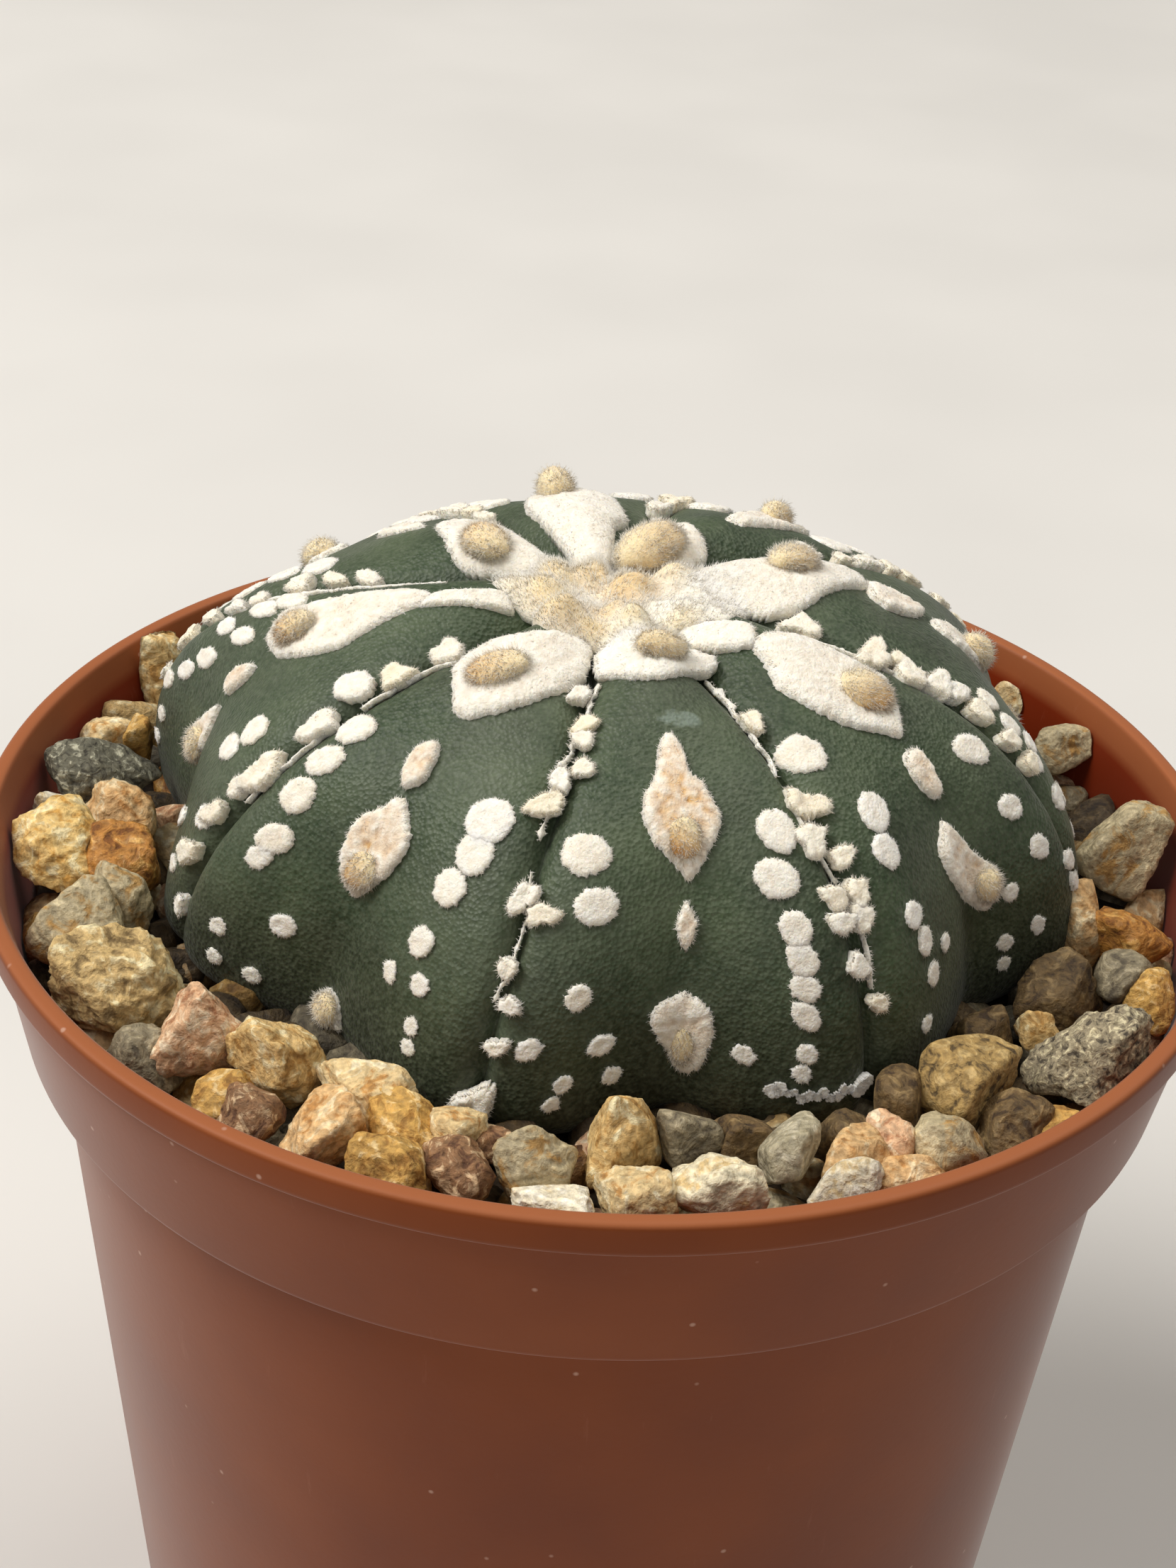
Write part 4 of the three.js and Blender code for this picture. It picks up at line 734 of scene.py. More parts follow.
def skin(turn, down, lift=0.0, grooved=1.0):
    """Points of the skin. Turn counts ribs clockwise from above, with the fissures at whole numbers.

    Down is 0 at the crown, 1 at the equator and 2 underneath. Lift moves the point outwards.
    """
    turn, down, lift = np.broadcast_arrays(*[np.asarray(v, float) for v in (turn, down, lift)])
    whole = np.floor(turn).astype(int)
    across = turn - whole
    rib = whole % RIBS
    before, after = FISSURES[rib - 1], FISSURES[rib]
    upper = np.clip(down, 0, 1) ** 1.5
    lean = 1 - upper
    start = before[..., 0] + before[..., 1] * lean + 360 * (rib == 0)
    end = after[..., 0] + after[..., 1] * lean
    shifted = across + CREST_SHIFT[rib] * across * (1 - across)
    azimuth = np.radians(start + (end - start) * shifted)
    arc = math.pi / 2 * (upper + np.maximum(down - 1, 0))
    out = np.sin(arc) ** (2 / 3)
    ease = 0.5 - 0.5 * np.cos(math.pi * across)
    reach = before[..., 2] + (after[..., 2] - before[..., 2]) * ease
    middle = np.sin(math.pi * across) ** 2
    sunk = VALLEY * np.maximum(0, (out - 0.35) / 0.65) ** 1.5 * middle
    rib_width = reach * out * math.pi / RIBS * 2
    aside = rib_width * np.minimum(across, 1 - across)
    groove = FISSURE_DEPTH * np.exp(-aside / FISSURE_WIDTH) * np.minimum(1, out * 4) * grooved
    from_crest = rib_width * np.abs(across - 0.5)
    lower_part = np.clip((down - 0.55) / 0.35, 0, 1)
    crease = CREASE_DEPTH * np.exp(-((from_crest / CREASE_WIDTH) ** 2)) * lower_part
    crest = RIB_LIFT * np.sin(math.pi * np.minimum(1, out / 0.6)) * middle
    dip = CROWN_DIP * np.exp(-((out / 0.16) ** 2))
    moved = lift - groove - crease
    radius = reach * out * (1 - sunk) + moved * out
    tall = np.where(down > 1, UNDERSIDE, CROWN - EQUATOR)
    height = EQUATOR + tall * np.cos(arc) + crest - dip + moved * np.cos(arc)
    drift = np.where(down < 1, (1 - out) ** 2, 0)
    x = radius * np.cos(azimuth) + CROWN_SHIFT[0] * drift
    y = radius * np.sin(azimuth) + CROWN_SHIFT[1] * drift + PLANT_Y
    return np.stack([x, y, height], axis=-1)


def unit(vectors):
    return vectors / np.linalg.norm(vectors, axis=-1, keepdims=True)


SLOPE_STEP = 0.004  # of turn or down, over which the skin's slope is taken


def skin_frame(turn, down):
    """A point of the smooth skin, its normal and its directions down and across.

    The last value is the millimetres for each unit of down.
    """
    step = SLOPE_STEP
    at = skin(turn, down, grooved=0.0)
    lower = (skin(turn, down + step, grooved=0.0) - skin(turn, down - step, grooved=0.0)) / (2 * step)
    side = skin(turn + step, down, grooved=0.0) - skin(turn - step, down, grooved=0.0)
    side = side / (2 * step)
    return at, unit(np.cross(side, lower)), unit(lower), unit(side), np.linalg.norm(lower)


SKIN_COLUMNS = 40
SKIN_ROWS = 130
UNDER_ROWS = 20


def make_plant_body(material, root_material):
    share = np.arange(SKIN_COLUMNS) / SKIN_COLUMNS
    across = share - 0.12 * np.sin(2 * math.pi * share)
    turn = (np.arange(RIBS)[:, None] + across[None, :]).ravel()[::-1]
    down = np.concatenate(
        [np.arange(1, SKIN_ROWS + 1) / SKIN_ROWS, 1 + 0.97 * np.arange(1, UNDER_ROWS + 1) / UNDER_ROWS]
    )
    turns, downs = np.meshgrid(turn, down)
    smooth = skin(turns, downs).reshape(-1, 3)
    lumps = 0.16 * rumple(smooth, 6.0) + 0.05 * rumple(smooth, 1.7, 1)
    rows = skin(turns, downs, lumps.reshape(turns.shape)).reshape(-1, 3)
    points = np.concatenate([skin(0.5, 0.0)[None], rows, skin(0.5, 1.999)[None]])
    body = Bundle()
    # Painted shade, partly olive skin colour: rows below about 0.84 down darken towards the foot
    low = np.concatenate([[0], np.clip((downs.ravel() - 0.84) / 0.18, 0, 0.9), [0.9]])
    from_scar = ((turns.ravel() - SCAR[0]) / SCAR[2]) ** 2 + ((downs.ravel() - SCAR[1]) / SCAR[3]) ** 2
    scar = np.concatenate([[0], np.exp(-from_scar), [0]])
    body.add(points, ring_faces(len(down), len(turn)), low=low, scar=scar)
    body.piece("cactus_skin", material, "cactus", "cactus_body")
    root = Bundle()
    profile = [
        (0, 20), (1.4, 21), (2.2, 26), (3.0, 32), (3.8, 39), (4.4, 44), (8, 46), (14, 49.5), (15, 51),
        (0, 53),
    ]
    points, faces = turned(profile, 48)
    middle = np.array([0, PLANT_Y, 0])
    points += middle
    swell = 1 + 0.06 * rumple(points * [1, 1, 4], 3.0, 2)
    points[:, :2] = (points[:, :2] - middle[:2]) * swell[:, None] + middle[:2]
    root.add(points, faces)
    root.piece("taproot", root_material, "cactus", "cactus_body")


# Felt, hairs and wool


FINE_HAIR = 0.045
COARSE_HAIR = 0.05


def add_hairs(hairs, roots, directions, lengths, thickness, rng, **marks):
    """Adds tapered hairs, each a slim spike with three sides, with a value of each mark for each."""
    count = len(roots)
    directions = unit(directions)
    other = unit(np.cross(directions, rng.normal(size=(count, 3))))
    third = np.cross(directions, other)
    corners = []
    for angle in (0, 2 * math.pi / 3, 4 * math.pi / 3):
        corner = other * math.cos(angle) + third * math.sin(angle)
        corners.append(roots + corner * (thickness / 2))
    points = np.stack([*corners, roots + directions * lengths[:, None]], axis=1).reshape(-1, 3)
    spike = [[2, 1, 0], [0, 1, 3], [1, 2, 3], [2, 0, 3]]
    faces = [[4 * i + k for k in face] for i in range(count) for face in spike]
    each = {name: np.repeat(np.broadcast_to(value, count), 4) for name, value in marks.items()}
    hairs.add(points, faces, **each)


def spread(turn, down):
    """Millimetres of the smooth skin for each unit of turn."""
    across = skin(turn + SLOPE_STEP, down, grooved=0.0) - skin(turn - SLOPE_STEP, down, grooved=0.0)
    return np.linalg.norm(across, axis=-1) / (2 * SLOPE_STEP)


def beside(turn, aside, down, lift, grooved=0.0):
    """Points above the skin at millimetres aside of the line at a turn."""
    return skin(turn + aside / spread(turn, down), np.minimum(down, 1.3), lift, grooved)


OUTLINE_STEP = 0.15
OUTLINE_SMOOTHINGS = 8
RAGGEDNESS = 0.045


def soft_outline(corners, per_down, rng):
    """A soft closed curve past the given corners, evenly spaced, with a slightly ragged edge."""
    loop = np.array([*corners, corners[0]], float) * [1, per_down]
    if np.sum(loop[:-1, 0] * loop[1:, 1] - loop[1:, 0] * loop[:-1, 1]) < 0:
        loop = loop[::-1]
    along = np.concatenate([[0], np.cumsum(np.linalg.norm(np.diff(loop, axis=0), axis=1))])
    count = max(28, int(along[-1] / OUTLINE_STEP))
    even = np.arange(count) / count * along[-1]
    line = np.stack([np.interp(even, along, loop[:, i]) for i in (0, 1)], axis=1)
    for _ in range(OUTLINE_SMOOTHINGS):
        line = (np.roll(line, 1, 0) + 2 * line + np.roll(line, -1, 0)) / 4
    ragged = rng.normal(0, RAGGEDNESS, count)
    return line + unit(line - line.mean(0)) * ragged[:, None], along[-1]


EDGE_HAIRS = 22  # for each millimetre of a pad's outline
TOP_HAIRS = 9


def felt_pad(
    felt, hairs, turn, corners, rng, yellow, rise=0.5, fringe=0.3, tan=0.0, grooved=0.0, thick=1.0
):
    """A low pad of felt inside a closed outline of (aside, down) corners, with its hairs."""
    per_down = skin_frame(turn, np.mean([down for _, down in corners]))[4]
    line, length = soft_outline(corners, per_down, rng)
    middle = line.mean(0)
    away = line - middle
    reach = np.linalg.norm(away, axis=1).mean()

    def cushion(share):
        return rise * (0.8 + 0.3 * share**2) * np.sqrt(np.maximum(0, 1 - share**5))

    rings = int(np.clip(reach / 0.17, 6, 14))
    shares = np.append((np.arange(1, rings + 1) / rings) ** 0.8, 1.02)
    flat = middle + away[None] * shares[:, None, None]
    aside, down = flat[..., 0], flat[..., 1] / per_down
    base = beside(turn, aside, down, 0.0).reshape(-1, 3)
    seed = rng.uniform(0, 60)
    matted = 0.08 * rumple(base, 0.35, seed) + 0.06 * rumple(base, 0.9, seed + 1)
    lift = cushion(shares)[:, None] + matted.reshape(aside.shape) * min(1, rise * 2)
    lift[-2] = 0.1
    lift[-1] = -0.35
    surface = beside(turn, aside, down, lift, grooved).reshape(-1, 3)
    tips = beside(turn, middle[0], middle[1] / per_down, np.array([rise * 0.8, -0.8]), grooved)
    points = np.concatenate([tips[:1], surface, tips[1:]])
    centre = np.concatenate([[1], np.repeat(np.clip(1.15 - shares**2, 0, 1), len(line)), [0]])
    mottle = np.concatenate([[0.6], np.clip(0.6 - matted / 0.12, 0, 1.3), [0.6]])
    felt.add(points, ring_faces(len(shares), len(line)), yellow=yellow, brown=tan * centre * mottle)
    edge_hairs = int(EDGE_HAIRS * thick * length)
    top_hairs = int(TOP_HAIRS * thick * length * reach / 2)
    share = np.concatenate(
        [rng.uniform(0.9, 1.0, edge_hairs), 0.9 * np.sqrt(rng.uniform(0, 1, top_hairs))]
    )
    count = len(share)
    at = rng.uniform(0, len(line), count)
    rim = np.stack([np.interp(at, np.arange(len(line)), away[:, i]) for i in (0, 1)], axis=1)
    root, beyond = middle + rim * share[:, None], middle + rim * (share + 0.12)[:, None]
    height = cushion(share)
    roots = beside(turn, root[:, 0], root[:, 1] / per_down, height - 0.04, grooved)
    above = beside(turn, root[:, 0], root[:, 1] / per_down, height + 0.26, grooved)
    outer = beside(turn, beyond[:, 0], beyond[:, 1] / per_down, height * 0.8, grooved)
    normal, outward = unit(above - roots), unit(outer - roots)
    swirl = np.cross(normal, outward)
    edge = (np.arange(count) < edge_hairs)[:, None]
    directions = (
        normal * np.where(edge, rng.uniform(-0.2, 0.5, (count, 1)), 0.35)
        + outward * np.where(edge, 1.0, 0.4)
        + swirl * rng.normal(0.1, 0.5, count)[:, None]
        + rng.normal(0, 0.15, (count, 3))
    )
    lengths = np.where(edge[:, 0], rng.uniform(0.45, 1.0, count), rng.uniform(0.4, 0.8, count)) * fringe
    add_hairs(hairs, roots, directions, lengths, FINE_HAIR, rng, yellow=yellow, brown=0.0)


FLECK_CORNERS = 14
FISSURE_REACH = 1.3  # flecks nearer to a fissure than this lie on its slope


def fleck(felt, hairs, turn, down, width, rng, lobed=0.03, fringe=0.22, yellow=0.0, rise=0.27):
    """A round fleck of felt with an uneven outline."""
    per_down = skin_frame(turn, down)[4]
    angles = np.arange(FLECK_CORNERS) * 2 * math.pi / FLECK_CORNERS
    stretch, tilt = rng.uniform(0.88, 1.13), rng.uniform(0, math.pi)
    waves = sum(np.sin(k * angles + rng.uniform(0, 6.28)) for k in (2, 3, 5))
    radius = width / 2 * (1 + lobed * waves)
    x, y = radius * np.cos(angles) * stretch, radius * np.sin(angles) / stretch
    aside = x * math.cos(tilt) - y * math.sin(tilt)
    lower = x * math.sin(tilt) + y * math.cos(tilt)
    near_fissure = abs(turn - round(turn)) * spread(turn, down) < FISSURE_REACH
    corners = list(zip(aside, down + lower / per_down))
    height = rise * min(1, (width / 2.2) ** 0.6)
    tan = rng.uniform(0.0, 0.12)
    depth = 0.15 if near_fissure else 1.0
    felt_pad(felt, hairs, turn, corners, rng, yellow, height, fringe, tan, depth, thick=1.15)


THREAD_GROOVE = 0.5  # threads lie halfway down in the fissures
THREAD_YELLOW = 0.1


def felt_thread(felt, hairs, line, half, rng):
    """A thin ragged band of felt along points of turn and down, half its width to each side."""
    turns, downs = np.array(line, float).T
    per_turn, per_down = spread(turns.mean(), downs.mean()), skin_frame(turns.mean(), downs.mean())[4]
    length = np.sum(np.hypot(np.diff(turns) * per_turn, np.diff(downs) * per_down))
    rows = max(10, int(length / 0.2))
    share, corners = np.linspace(0, len(line) - 1, rows), np.arange(len(line))
    wobble = np.interp(share, np.linspace(0, len(line) - 1, rows // 3), rng.normal(0, 0.08, rows // 3))
    turn, down = np.interp(share, corners, turns), np.interp(share, corners, downs)
    flow = unit(np.gradient(np.stack([turn * per_turn, down * per_down], axis=1), axis=0))
    across_turn, across_down = flow[:, 1] / spread(turn, down), -flow[:, 0] / per_down
    turn, down = turn + wobble * across_turn, down + wobble * across_down
    width = half * np.minimum(np.exp(rng.normal(0, 0.5, rows)), 2)
    width[[0, -1]] = 0.04
    offset = np.array([1.0, 0.6, 0, -0.6, -1.0, 0])[None, :] * width[:, None]
    lifts = np.array([-0.1, 0.1, 0.14, 0.1, -0.1, -0.4]) + rng.normal(0, 0.03, (rows, 6))
    band_turn = turn[:, None] + offset * across_turn[:, None]
    band_down = down[:, None] + offset * across_down[:, None]
    rings = skin(band_turn, band_down, lifts, THREAD_GROOVE)
    tips = skin(turn[[0, -1]], down[[0, -1]], -0.1, THREAD_GROOVE)
    points = np.concatenate([tips[:1], rings.reshape(-1, 3), tips[1:]])
    felt.add(points, ring_faces(rows, 6), yellow=THREAD_YELLOW, brown=0.0)
    count = rows * 5
    pick = rng.integers(0, rows, count)
    side = np.sign(rng.normal(size=count)) * 0.8 * width[pick]
    edge_turn, edge_down = turn[pick] + side * across_turn[pick], down[pick] + side * across_down[pick]
    roots = skin(edge_turn, edge_down, 0.06, THREAD_GROOVE)
    middle = skin(turn[pick], down[pick], 0.05, THREAD_GROOVE)
    directions = unit(roots - middle) + rng.normal(0, 0.5, (count, 3))
    lengths = rng.uniform(0.4, 1, count) * 0.25
    add_hairs(hairs, roots, directions, lengths, COARSE_HAIR, rng, yellow=THREAD_YELLOW, brown=0.0)


def all_flecks(felt, hairs):
    rng = np.random.default_rng(11)
    for rib in range(RIBS):
        flecks = FLECKS.get(rib) or ruled_flecks(rng)
        for across, down, width in flecks:
            fleck(felt, hairs, rib + across, down, width, rng, yellow=rng.uniform(0, 0.15))
        for down, aside, width in FISSURE_FLECKS.get(rib, HIDDEN_FISSURE_FLECKS):
            turn = rib + 1 + aside / spread(rib + 1, down)
            yellow = rng.uniform(0.05, 0.4)
            fleck(felt, hairs, turn, down, width * 1.15, rng, 0.2, 0.3, yellow, 0.5)
    for line, half in THREADS:
        felt_thread(felt, hairs, line, half, rng)
    turns, downs = np.array(CRUST).T
    steps, corners = np.arange(0, len(CRUST) - 0.99, 0.34), np.arange(len(CRUST))
    for turn, down in zip(np.interp(steps, corners, turns), np.interp(steps, corners, downs)):
        width, down = CRUST_FLAKE * rng.uniform(0.6, 1.7), down + rng.normal(0, 0.004)
        fleck(felt, hairs, turn, down, width, rng, lobed=0.07, fringe=0.12, rise=0.15)


def ruled_flecks(rng):
    """Two rows of flecks that get smaller down the rib."""
    flecks = []
    for row in (0.18, 0.82):
        down = 0.45 + 0.03 * rng.random()
        while down < 0.97:
            across = row + 0.06 * (rng.random() - 0.5)
            flecks.append((across, down, 3.5 - 2.5 * down + 0.3 * rng.random()))
            down += 0.055 + 0.03 * rng.random()
    return flecks


TUFT_ROWS = 24
TUFT_COLUMNS = 40
TUFT_HAIRS = 210  # for each square millimetre of length by width


def tuft(wool, hairs, turn, place, rng):
    """A small bun of combed wool. Its lower end is the browner one."""
    aside, down, length, width, height, brown, slant = place
    turn = turn + aside / spread(turn, down)
    at, normal, downward, sideways, _ = skin_frame(turn, down)
    angle = math.radians(slant)
    along = downward * math.cos(angle) + sideways * math.sin(angle)
    athwart = np.cross(along, normal)
    polar = (np.arange(TUFT_ROWS) + 0.5) / TUFT_ROWS * math.pi
    ball, faces = turned([(0, 1), *zip(np.sin(polar), np.cos(polar)), (0, -1)], TUFT_COLUMNS)
    seed = rng.uniform(0, 50)
    swell = 1 + 0.1 * rumple(ball, 0.8, seed) + 0.04 * rumple(ball * [1, 2, 1], 0.3, seed)
    axes = np.stack([along * length / 2, athwart * width / 2, normal * height / 2])
    middle = at + normal * (0.3 + height * 0.13)

    def browner(places):
        lower = np.clip(0.45 + 0.55 * places[:, 0] + 0.25 * places[:, 1] - 0.1 * places[:, 2], 0, 1)
        streaks = 0.2 * rumple(places * [0.5, 3, 3], 0.3, seed + 2)
        return np.clip(0.1 + brown * (1.15 * lower - 0.1) + streaks, 0, 1)

    wool.add(middle + (ball * swell[:, None]) @ axes, faces, yellow=0.7, brown=browner(ball))
    count = int(TUFT_HAIRS * length * width)
    pick = unit(rng.normal(size=(count, 3)))
    pick[:, 2] = np.abs(pick[:, 2]) - 0.35
    pick = unit(pick)
    outwards = unit(pick @ np.stack([along / length, athwart / width, normal / height]))
    directions = outwards * rng.uniform(0.2, 0.9, count)[:, None] + along * 0.35
    directions = directions + rng.normal(0, 0.3, (count, 3))
    roots, lengths = middle + (pick * 0.97) @ axes, rng.uniform(0.2, 0.55, count)
    shade = 0.3 * browner(pick)
    add_hairs(hairs, roots, directions, lengths, FINE_HAIR, rng, yellow=0.3, brown=shade)


CROWN_COLUMNS = 168
CROWN_RINGS = 40
CROWN_HAIRS = 8000


def crown_hub(felt, hairs, rng):
    """The white middle of the star, with soft cream-yellow mounds of young wool in it."""
    mounds = np.array([skin(turn, down, 0.0, 0.0) for turn, down, *_ in HUB_MOUNDS])
    widths, heights, browns = np.array([mound[2:] for mound in HUB_MOUNDS]).T

    def wool_height(base):
        apart = np.linalg.norm(base[:, None] - mounds[None], axis=2) / (widths / 2)
        swells = heights * np.exp(-0.9 * apart**2.4)
        joined = np.sum(swells**3, axis=1) ** (1 / 3)
        share = swells / (swells.sum(axis=1, keepdims=True) + 0.15)
        return joined, np.clip(joined / 0.9, 0, 1), share @ browns

    def hem(share):
        return np.sqrt(np.maximum(0, 1 - share**5))

    turn = np.arange(CROWN_COLUMNS)[::-1] / CROWN_COLUMNS * RIBS
    edge = np.interp(turn, np.arange(0, RIBS + 0.5, 0.5), [*CROWN_EDGE, CROWN_EDGE[0]])
    shares = np.append((np.arange(1, CROWN_RINGS + 1) / CROWN_RINGS) ** 0.9, 1.03)
    downs = edge[None, :] * shares[:, None]
    base = skin(turn[None, :], downs, 0.0, 0.0).reshape(-1, 3)
    joined, yellow, brown = wool_height(base)
    matted = 0.09 * rumple(base, 0.5, 4) + 0.1 * rumple(base, 1.2, 5)
    lift = hem(shares)[:, None] * (0.35 + (joined + matted).reshape(downs.shape))
    lift[-1] = -0.4
    surface = skin(turn[None, :], downs, lift, 0.0).reshape(-1, 3)
    tips = skin(0.0, 0.0, np.array([lift[0].mean(), -0.8]), 0.0)
    points = np.concatenate([tips[:1], surface, tips[1:]])
    marks = [np.concatenate([mark[:1], mark, [0]]) for mark in (0.1 + 0.6 * yellow, brown)]
    felt.add(points, ring_faces(len(shares), CROWN_COLUMNS), yellow=marks[0], brown=marks[1])
    count = CROWN_HAIRS
    at, share = rng.uniform(0, RIBS, count), np.sqrt(rng.uniform(0, 1, count))
    down = np.interp(at, turn[::-1], edge[::-1]) * share
    base = skin(at, down, 0.0, 0.0)
    joined, yellow, brown = wool_height(base)
    lift = hem(share) * (0.3 + joined)
    roots = skin(at, down, lift, 0.0)
    directions = unit(skin(at, down + 0.01, lift + 1, 0.0) - roots) + rng.normal(0, 0.35, (count, 3))
    lengths, cream = rng.uniform(0.25, 0.65, count), 0.05 + 0.3 * yellow
    add_hairs(hairs, roots, directions, lengths, COARSE_HAIR, rng, yellow=cream, brown=0.0)


def all_areoles(felt, wool, hairs):
    rng = np.random.default_rng(23)
    for rib, corners, place, tan in AREOLES:
        felt_pad(felt, hairs, rib + 0.5, corners, rng, yellow=0.08, tan=tan)
        if place:
            tuft(wool, hairs, rib + 0.5, place, rng)
    for rib, corners in CROWN_LINKS:
        felt_pad(felt, hairs, rib + 0.5, corners, rng, rise=0.4, yellow=0.1)
    crown_hub(felt, hairs, rng)


# The grit


def rock_ball(detail):
    shape = bmesh.new()
    bmesh.ops.create_icosphere(shape, subdivisions=detail, radius=1)
    points = np.array([v.co for v in shape.verts])
    faces = [[v.index for v in face.verts] for face in shape.faces]
    shape.free()
    return points, faces


BALLS = {detail: rock_ball(detail) for detail in (3, 4, 5)}


def rock(kind, size, turn, rng, detail, taper=0.1):
    """A broken stone that fills a box of the given size, and painted shade for each point in its cracks
    and dips.
    """
    points, faces = BALLS[detail]
    rugged = ROCKS[kind][-1]
    sides = np.concatenate([np.eye(3), -np.eye(3)])
    breaks = unit(np.concatenate([sides + rng.normal(0, 0.35, (6, 3)), rng.normal(size=(9, 3))]))
    reach = np.maximum(points @ breaks.T, 0) / rng.uniform(0.7, 1.0, len(breaks))
    sharp = rng.uniform(9, 15)
    points = points * np.minimum(np.sum(reach**sharp, axis=1) ** (-1 / sharp), 1.4)[:, None]
    points[:, :2] *= 1 - taper * np.clip(points[:, 2:] + 0.5, 0, 1.5)
    seed = rng.uniform(0, 90)
    ridges = 1 - 3 * np.abs(rumple(points, 0.5, seed))
    lumps = rumple(points, 0.8, seed + 1)
    chips = 1 - 3 * np.abs(rumple(points, 0.22, seed + 2))
    grain = rumple(points, 0.12, seed + 3)
    relief = 0.045 * ridges + 0.05 * lumps + 0.025 * chips + 0.014 * grain
    points = points * (1 + rugged * relief)[:, None]
    spans = points.max(0) - points.min(0)
    points = (points - (points.max(0) + points.min(0)) / 2) / spans * size
    spin = np.array(Matrix.Rotation(math.radians(turn), 3, "Z"))
    hollow = np.clip(-0.2 - 9 * rugged * (relief - 0.05 * lumps), 0, 1)
    return points @ spin.T, faces, hollow


BED_INSIDE, BED_OUTSIDE = 20.5, 32.2  # the ring that is strewn with stones
WALL_CLEARANCE = 0.12


def inner_wall(height):
    bead = POT_HEIGHT - BEAD_HEIGHT
    foot = POT_HEIGHT - COLLAR_HEIGHT + 1
    return np.interp(height, [foot, bead], [COLLAR_RADIUS - WALL, RIM_RADIUS - COLLAR_INSET - WALL])


def keep_inside(points):
    """Stones press against the pot's wall and don't pass it."""
    radius = np.hypot(points[:, 0], points[:, 1])
    limit = inner_wall(points[:, 2]) - WALL_CLEARANCE
    points[:, :2] *= np.minimum(1, limit / np.maximum(radius, 1e-6))[:, None]
    return points


def plant_reach(x, y):
    """How far the plant's outline reaches in the direction of a point."""
    turns = np.linspace(0, RIBS, 400, endpoint=False)
    line = skin(turns, 1.0)
    angles = np.arctan2(line[:, 1] - PLANT_Y, line[:, 0])
    apart = np.cos(angles - math.atan2(y - PLANT_Y, x))
    best = line[np.argmax(apart)]
    return math.hypot(best[0], best[1] - PLANT_Y)


def bed_places(rng):
    """Stones that fill the ring round the ones that show: x, y, z, width and kind of each."""
    stones = []
    taken = [(x, y, (length + width) / 2) for x, y, _, length, width, *_ in BED_STONES]
    for name in LOOSE_STONES:
        low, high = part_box("stone_" + name)
        middle = (low + high) / 2 / MM
        taken.append((middle.x, middle.y, (high.x - low.x + high.y - low.y) / 2 / MM))
    kinds = ("ochre", "cream", "apricot", "quartz", "gold", "grey", "brown", "brown", "amber", "pink")
    layers = ((0.43, 2.6, 4.6, GRAVEL_TOP + 0.6, 2500), (0.34, 2.6, 4.2, GRAVEL_TOP - 1.3, 2500))
    for tightness, smallest, largest, level, tries in layers:
        for _ in range(tries):
            azimuth = rng.uniform(0, 2 * math.pi)
            radius = math.sqrt(rng.uniform(BED_INSIDE**2, BED_OUTSIDE**2))
            width = rng.uniform(smallest, largest)
            kind = kinds[rng.integers(len(kinds))]
            x, y = radius * math.cos(azimuth), radius * math.sin(azimuth)
            under_plant = 1.2 if level < GRAVEL_TOP else -1.0
            if math.hypot(x, y - PLANT_Y) < plant_reach(x, y) - under_plant:
                continue
            gaps = [math.hypot(x - tx, y - ty) - tightness * (width + tw) for tx, ty, tw in taken]
            if min(gaps, default=1) > 0:
                taken.append((x, y, width))
                upper = level > GRAVEL_TOP
                # Painted shade: upper stones at the front sink into the gaps and all take the dark brown
                # rock
                sunk = upper * (2.0 if y < 0 else 1.2 if x > 8 else 0.0)
                z = level - sunk + rng.uniform(-0.4, 0.4)
                stones.append((x, y, z, width, "brown" if sunk > 1.5 else kind))
        taken = []
    return stones


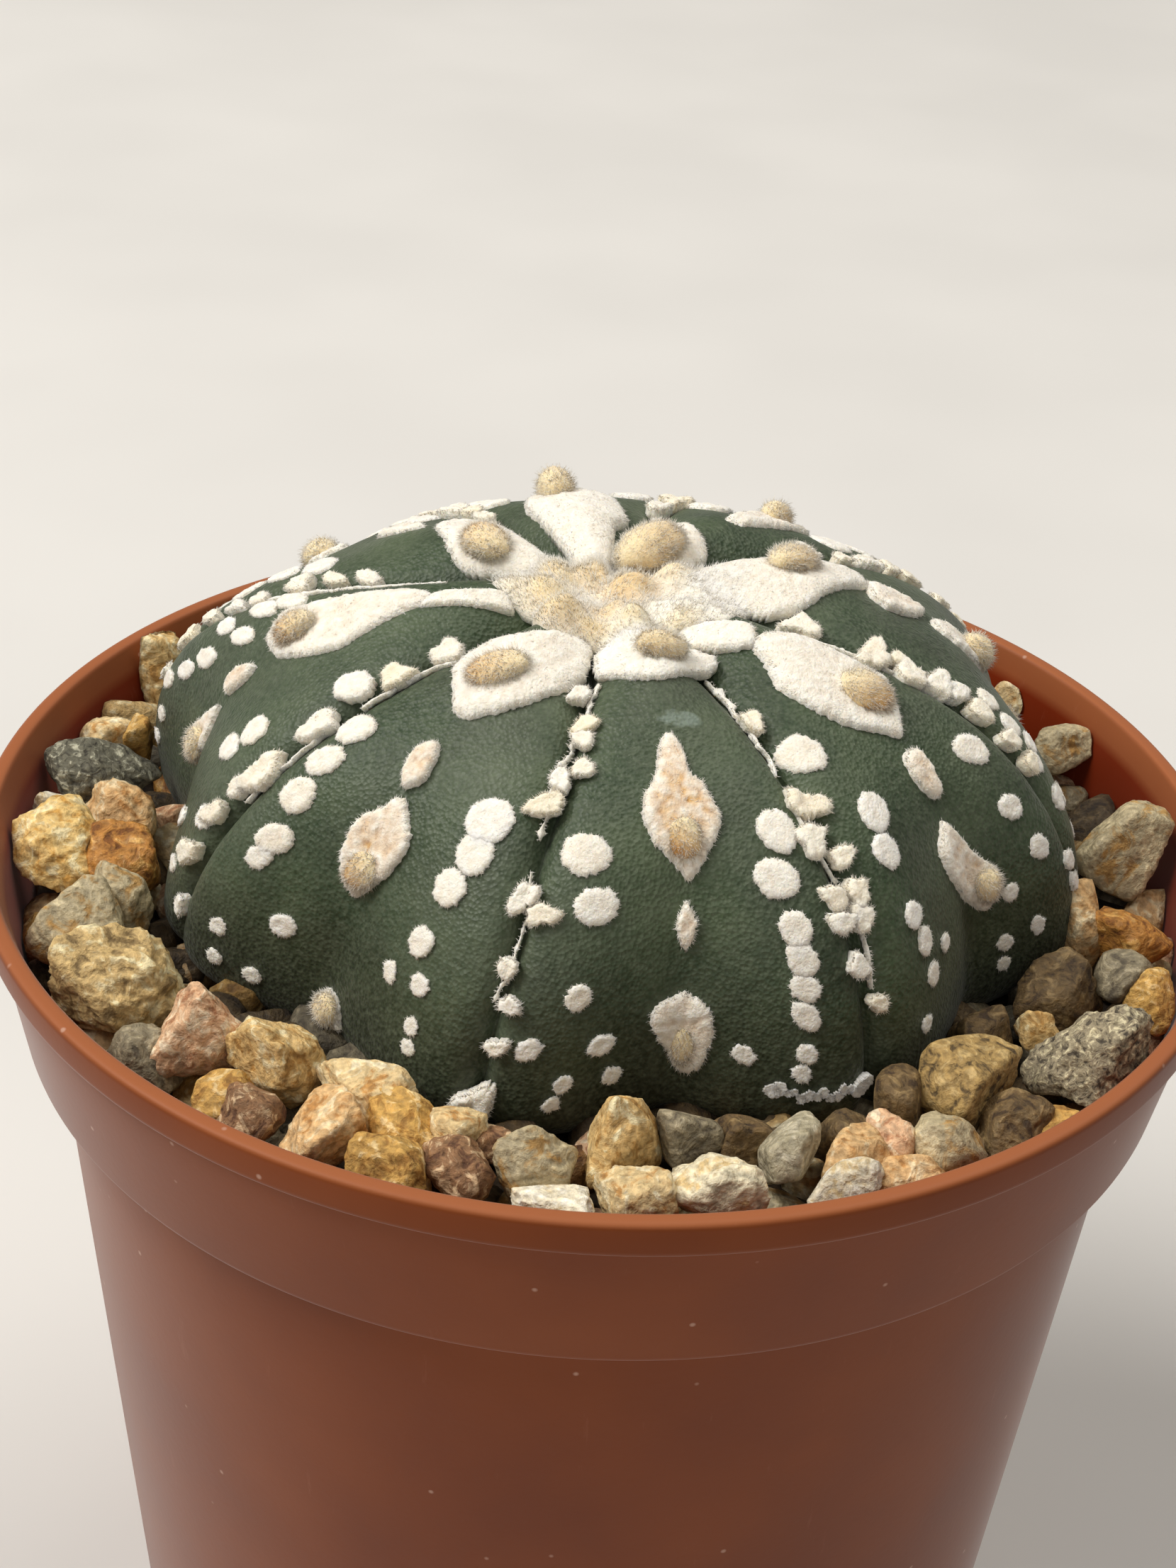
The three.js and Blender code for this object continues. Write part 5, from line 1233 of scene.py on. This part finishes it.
def make_gravel():
    rng = np.random.default_rng(5)
    materials = {kind: crushed_rock(kind) for kind in ROCKS}
    beds = {}
    for x, y, z, width, kind in bed_places(rng):
        size = width * np.array([rng.uniform(1.0, 1.3), rng.uniform(0.8, 1.05), rng.uniform(0.75, 1.05)])
        points, faces, hollow = rock(kind, size, rng.uniform(0, 360), rng, 3)
        bed = beds.setdefault(kind, Bundle())
        # Painted shade: stones lying low between the others are darkened; the rest vary in tone at random
        tone = rng.uniform(0.75, 1.1) if z > GRAVEL_TOP - 0.5 else rng.uniform(0.35, 0.7)
        bed.add(keep_inside(points + [x, y, z]), faces, hollow=hollow, tone=tone)
    for x, y, z, length, width, height, turn, kind in BED_STONES:
        detail = 5 if length > 4.1 else 4
        points, faces, hollow = rock(kind, (length, width, height), turn, rng, detail)
        bed = beds.setdefault(kind, Bundle())
        bed.add(keep_inside(points + [x, y, z]), faces, hollow=hollow, tone=rng.uniform(0.95, 1.15))
    for kind, bed in beds.items():
        bed.piece("gravel_" + kind, materials[kind], "gravel", "gravel_bed")
    for name, (kind, length, width, height, turn, taper) in LOOSE_STONES.items():
        low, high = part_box("stone_" + name)
        middle = np.array((low + high) / 2) / MM
        points, faces, hollow = rock(kind, (length, width, height), turn, rng, 5, taper)
        stone = Bundle()
        stone.add(keep_inside(points + middle), faces, hollow=hollow, tone=1.1)
        stone.piece("loose_" + name, materials[kind], "stone_" + name, "stone_" + name)


GRIT_SIDES = 180


def make_grit_bed(material):
    """Fine grit that fills the gaps low between the stones, its near-black colour partly painted shade.
    """
    profile = [(8, 51), (31.0, 51), (31.9, 54), (32.2, 56.2), (29, 56.2), (26, 55.6), (22, 54.4), (8, 54)]
    points = turned_rows(profile, GRIT_SIDES)
    points[:, 2] += 0.35 * rumple(points, 1.6, 3) * (points[:, 2] > 55)
    faces = []
    for i in range(len(profile)):
        row, following = i * GRIT_SIDES, (i + 1) % len(profile) * GRIT_SIDES
        for j in range(GRIT_SIDES):
            k = (j + 1) % GRIT_SIDES
            faces.append([row + j, row + k, following + k, following + j])
    grit = Bundle()
    grit.add(points, faces)
    grit.piece("grit_bed", material, "gravel", "gravel_bed")


def main():
    make_camera()
    make_light()
    make_floor(matt_board())
    make_pot(moulded_polypropylene())
    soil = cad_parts["soil"]
    soil.data.materials.clear()
    soil.data.materials.append(peat_mix("peat_mix", "#1d140d", "#4b3826"))
    # The grit's near-black colours are partly painted shade in the gaps between stones
    make_grit_bed(peat_mix("grit_gap_shade", "#17110b", "#4a3a28"))
    make_gravel()

    make_plant_body(waxy_epidermis(), peat_mix("corky_root", "#5d4a33", "#97805c"))
    white = felted_trichomes()
    flecks, fleck_hairs = Bundle(), Bundle()
    all_flecks(flecks, fleck_hairs)
    flecks.piece("flecks", white, "wool", "cactus_body")
    fleck_hairs.piece("fleck_hairs", white, "wool", "cactus_body")
    flock, wool, wool_hairs = Bundle(), Bundle(), Bundle()
    all_areoles(flock, wool, wool_hairs)
    flock.piece("areole_flock", white, "wool", "crown_wool")
    wool.piece("areole_wool", white, "wool", "crown_wool")
    wool_hairs.piece("areole_hairs", white, "wool", "crown_wool")


main()
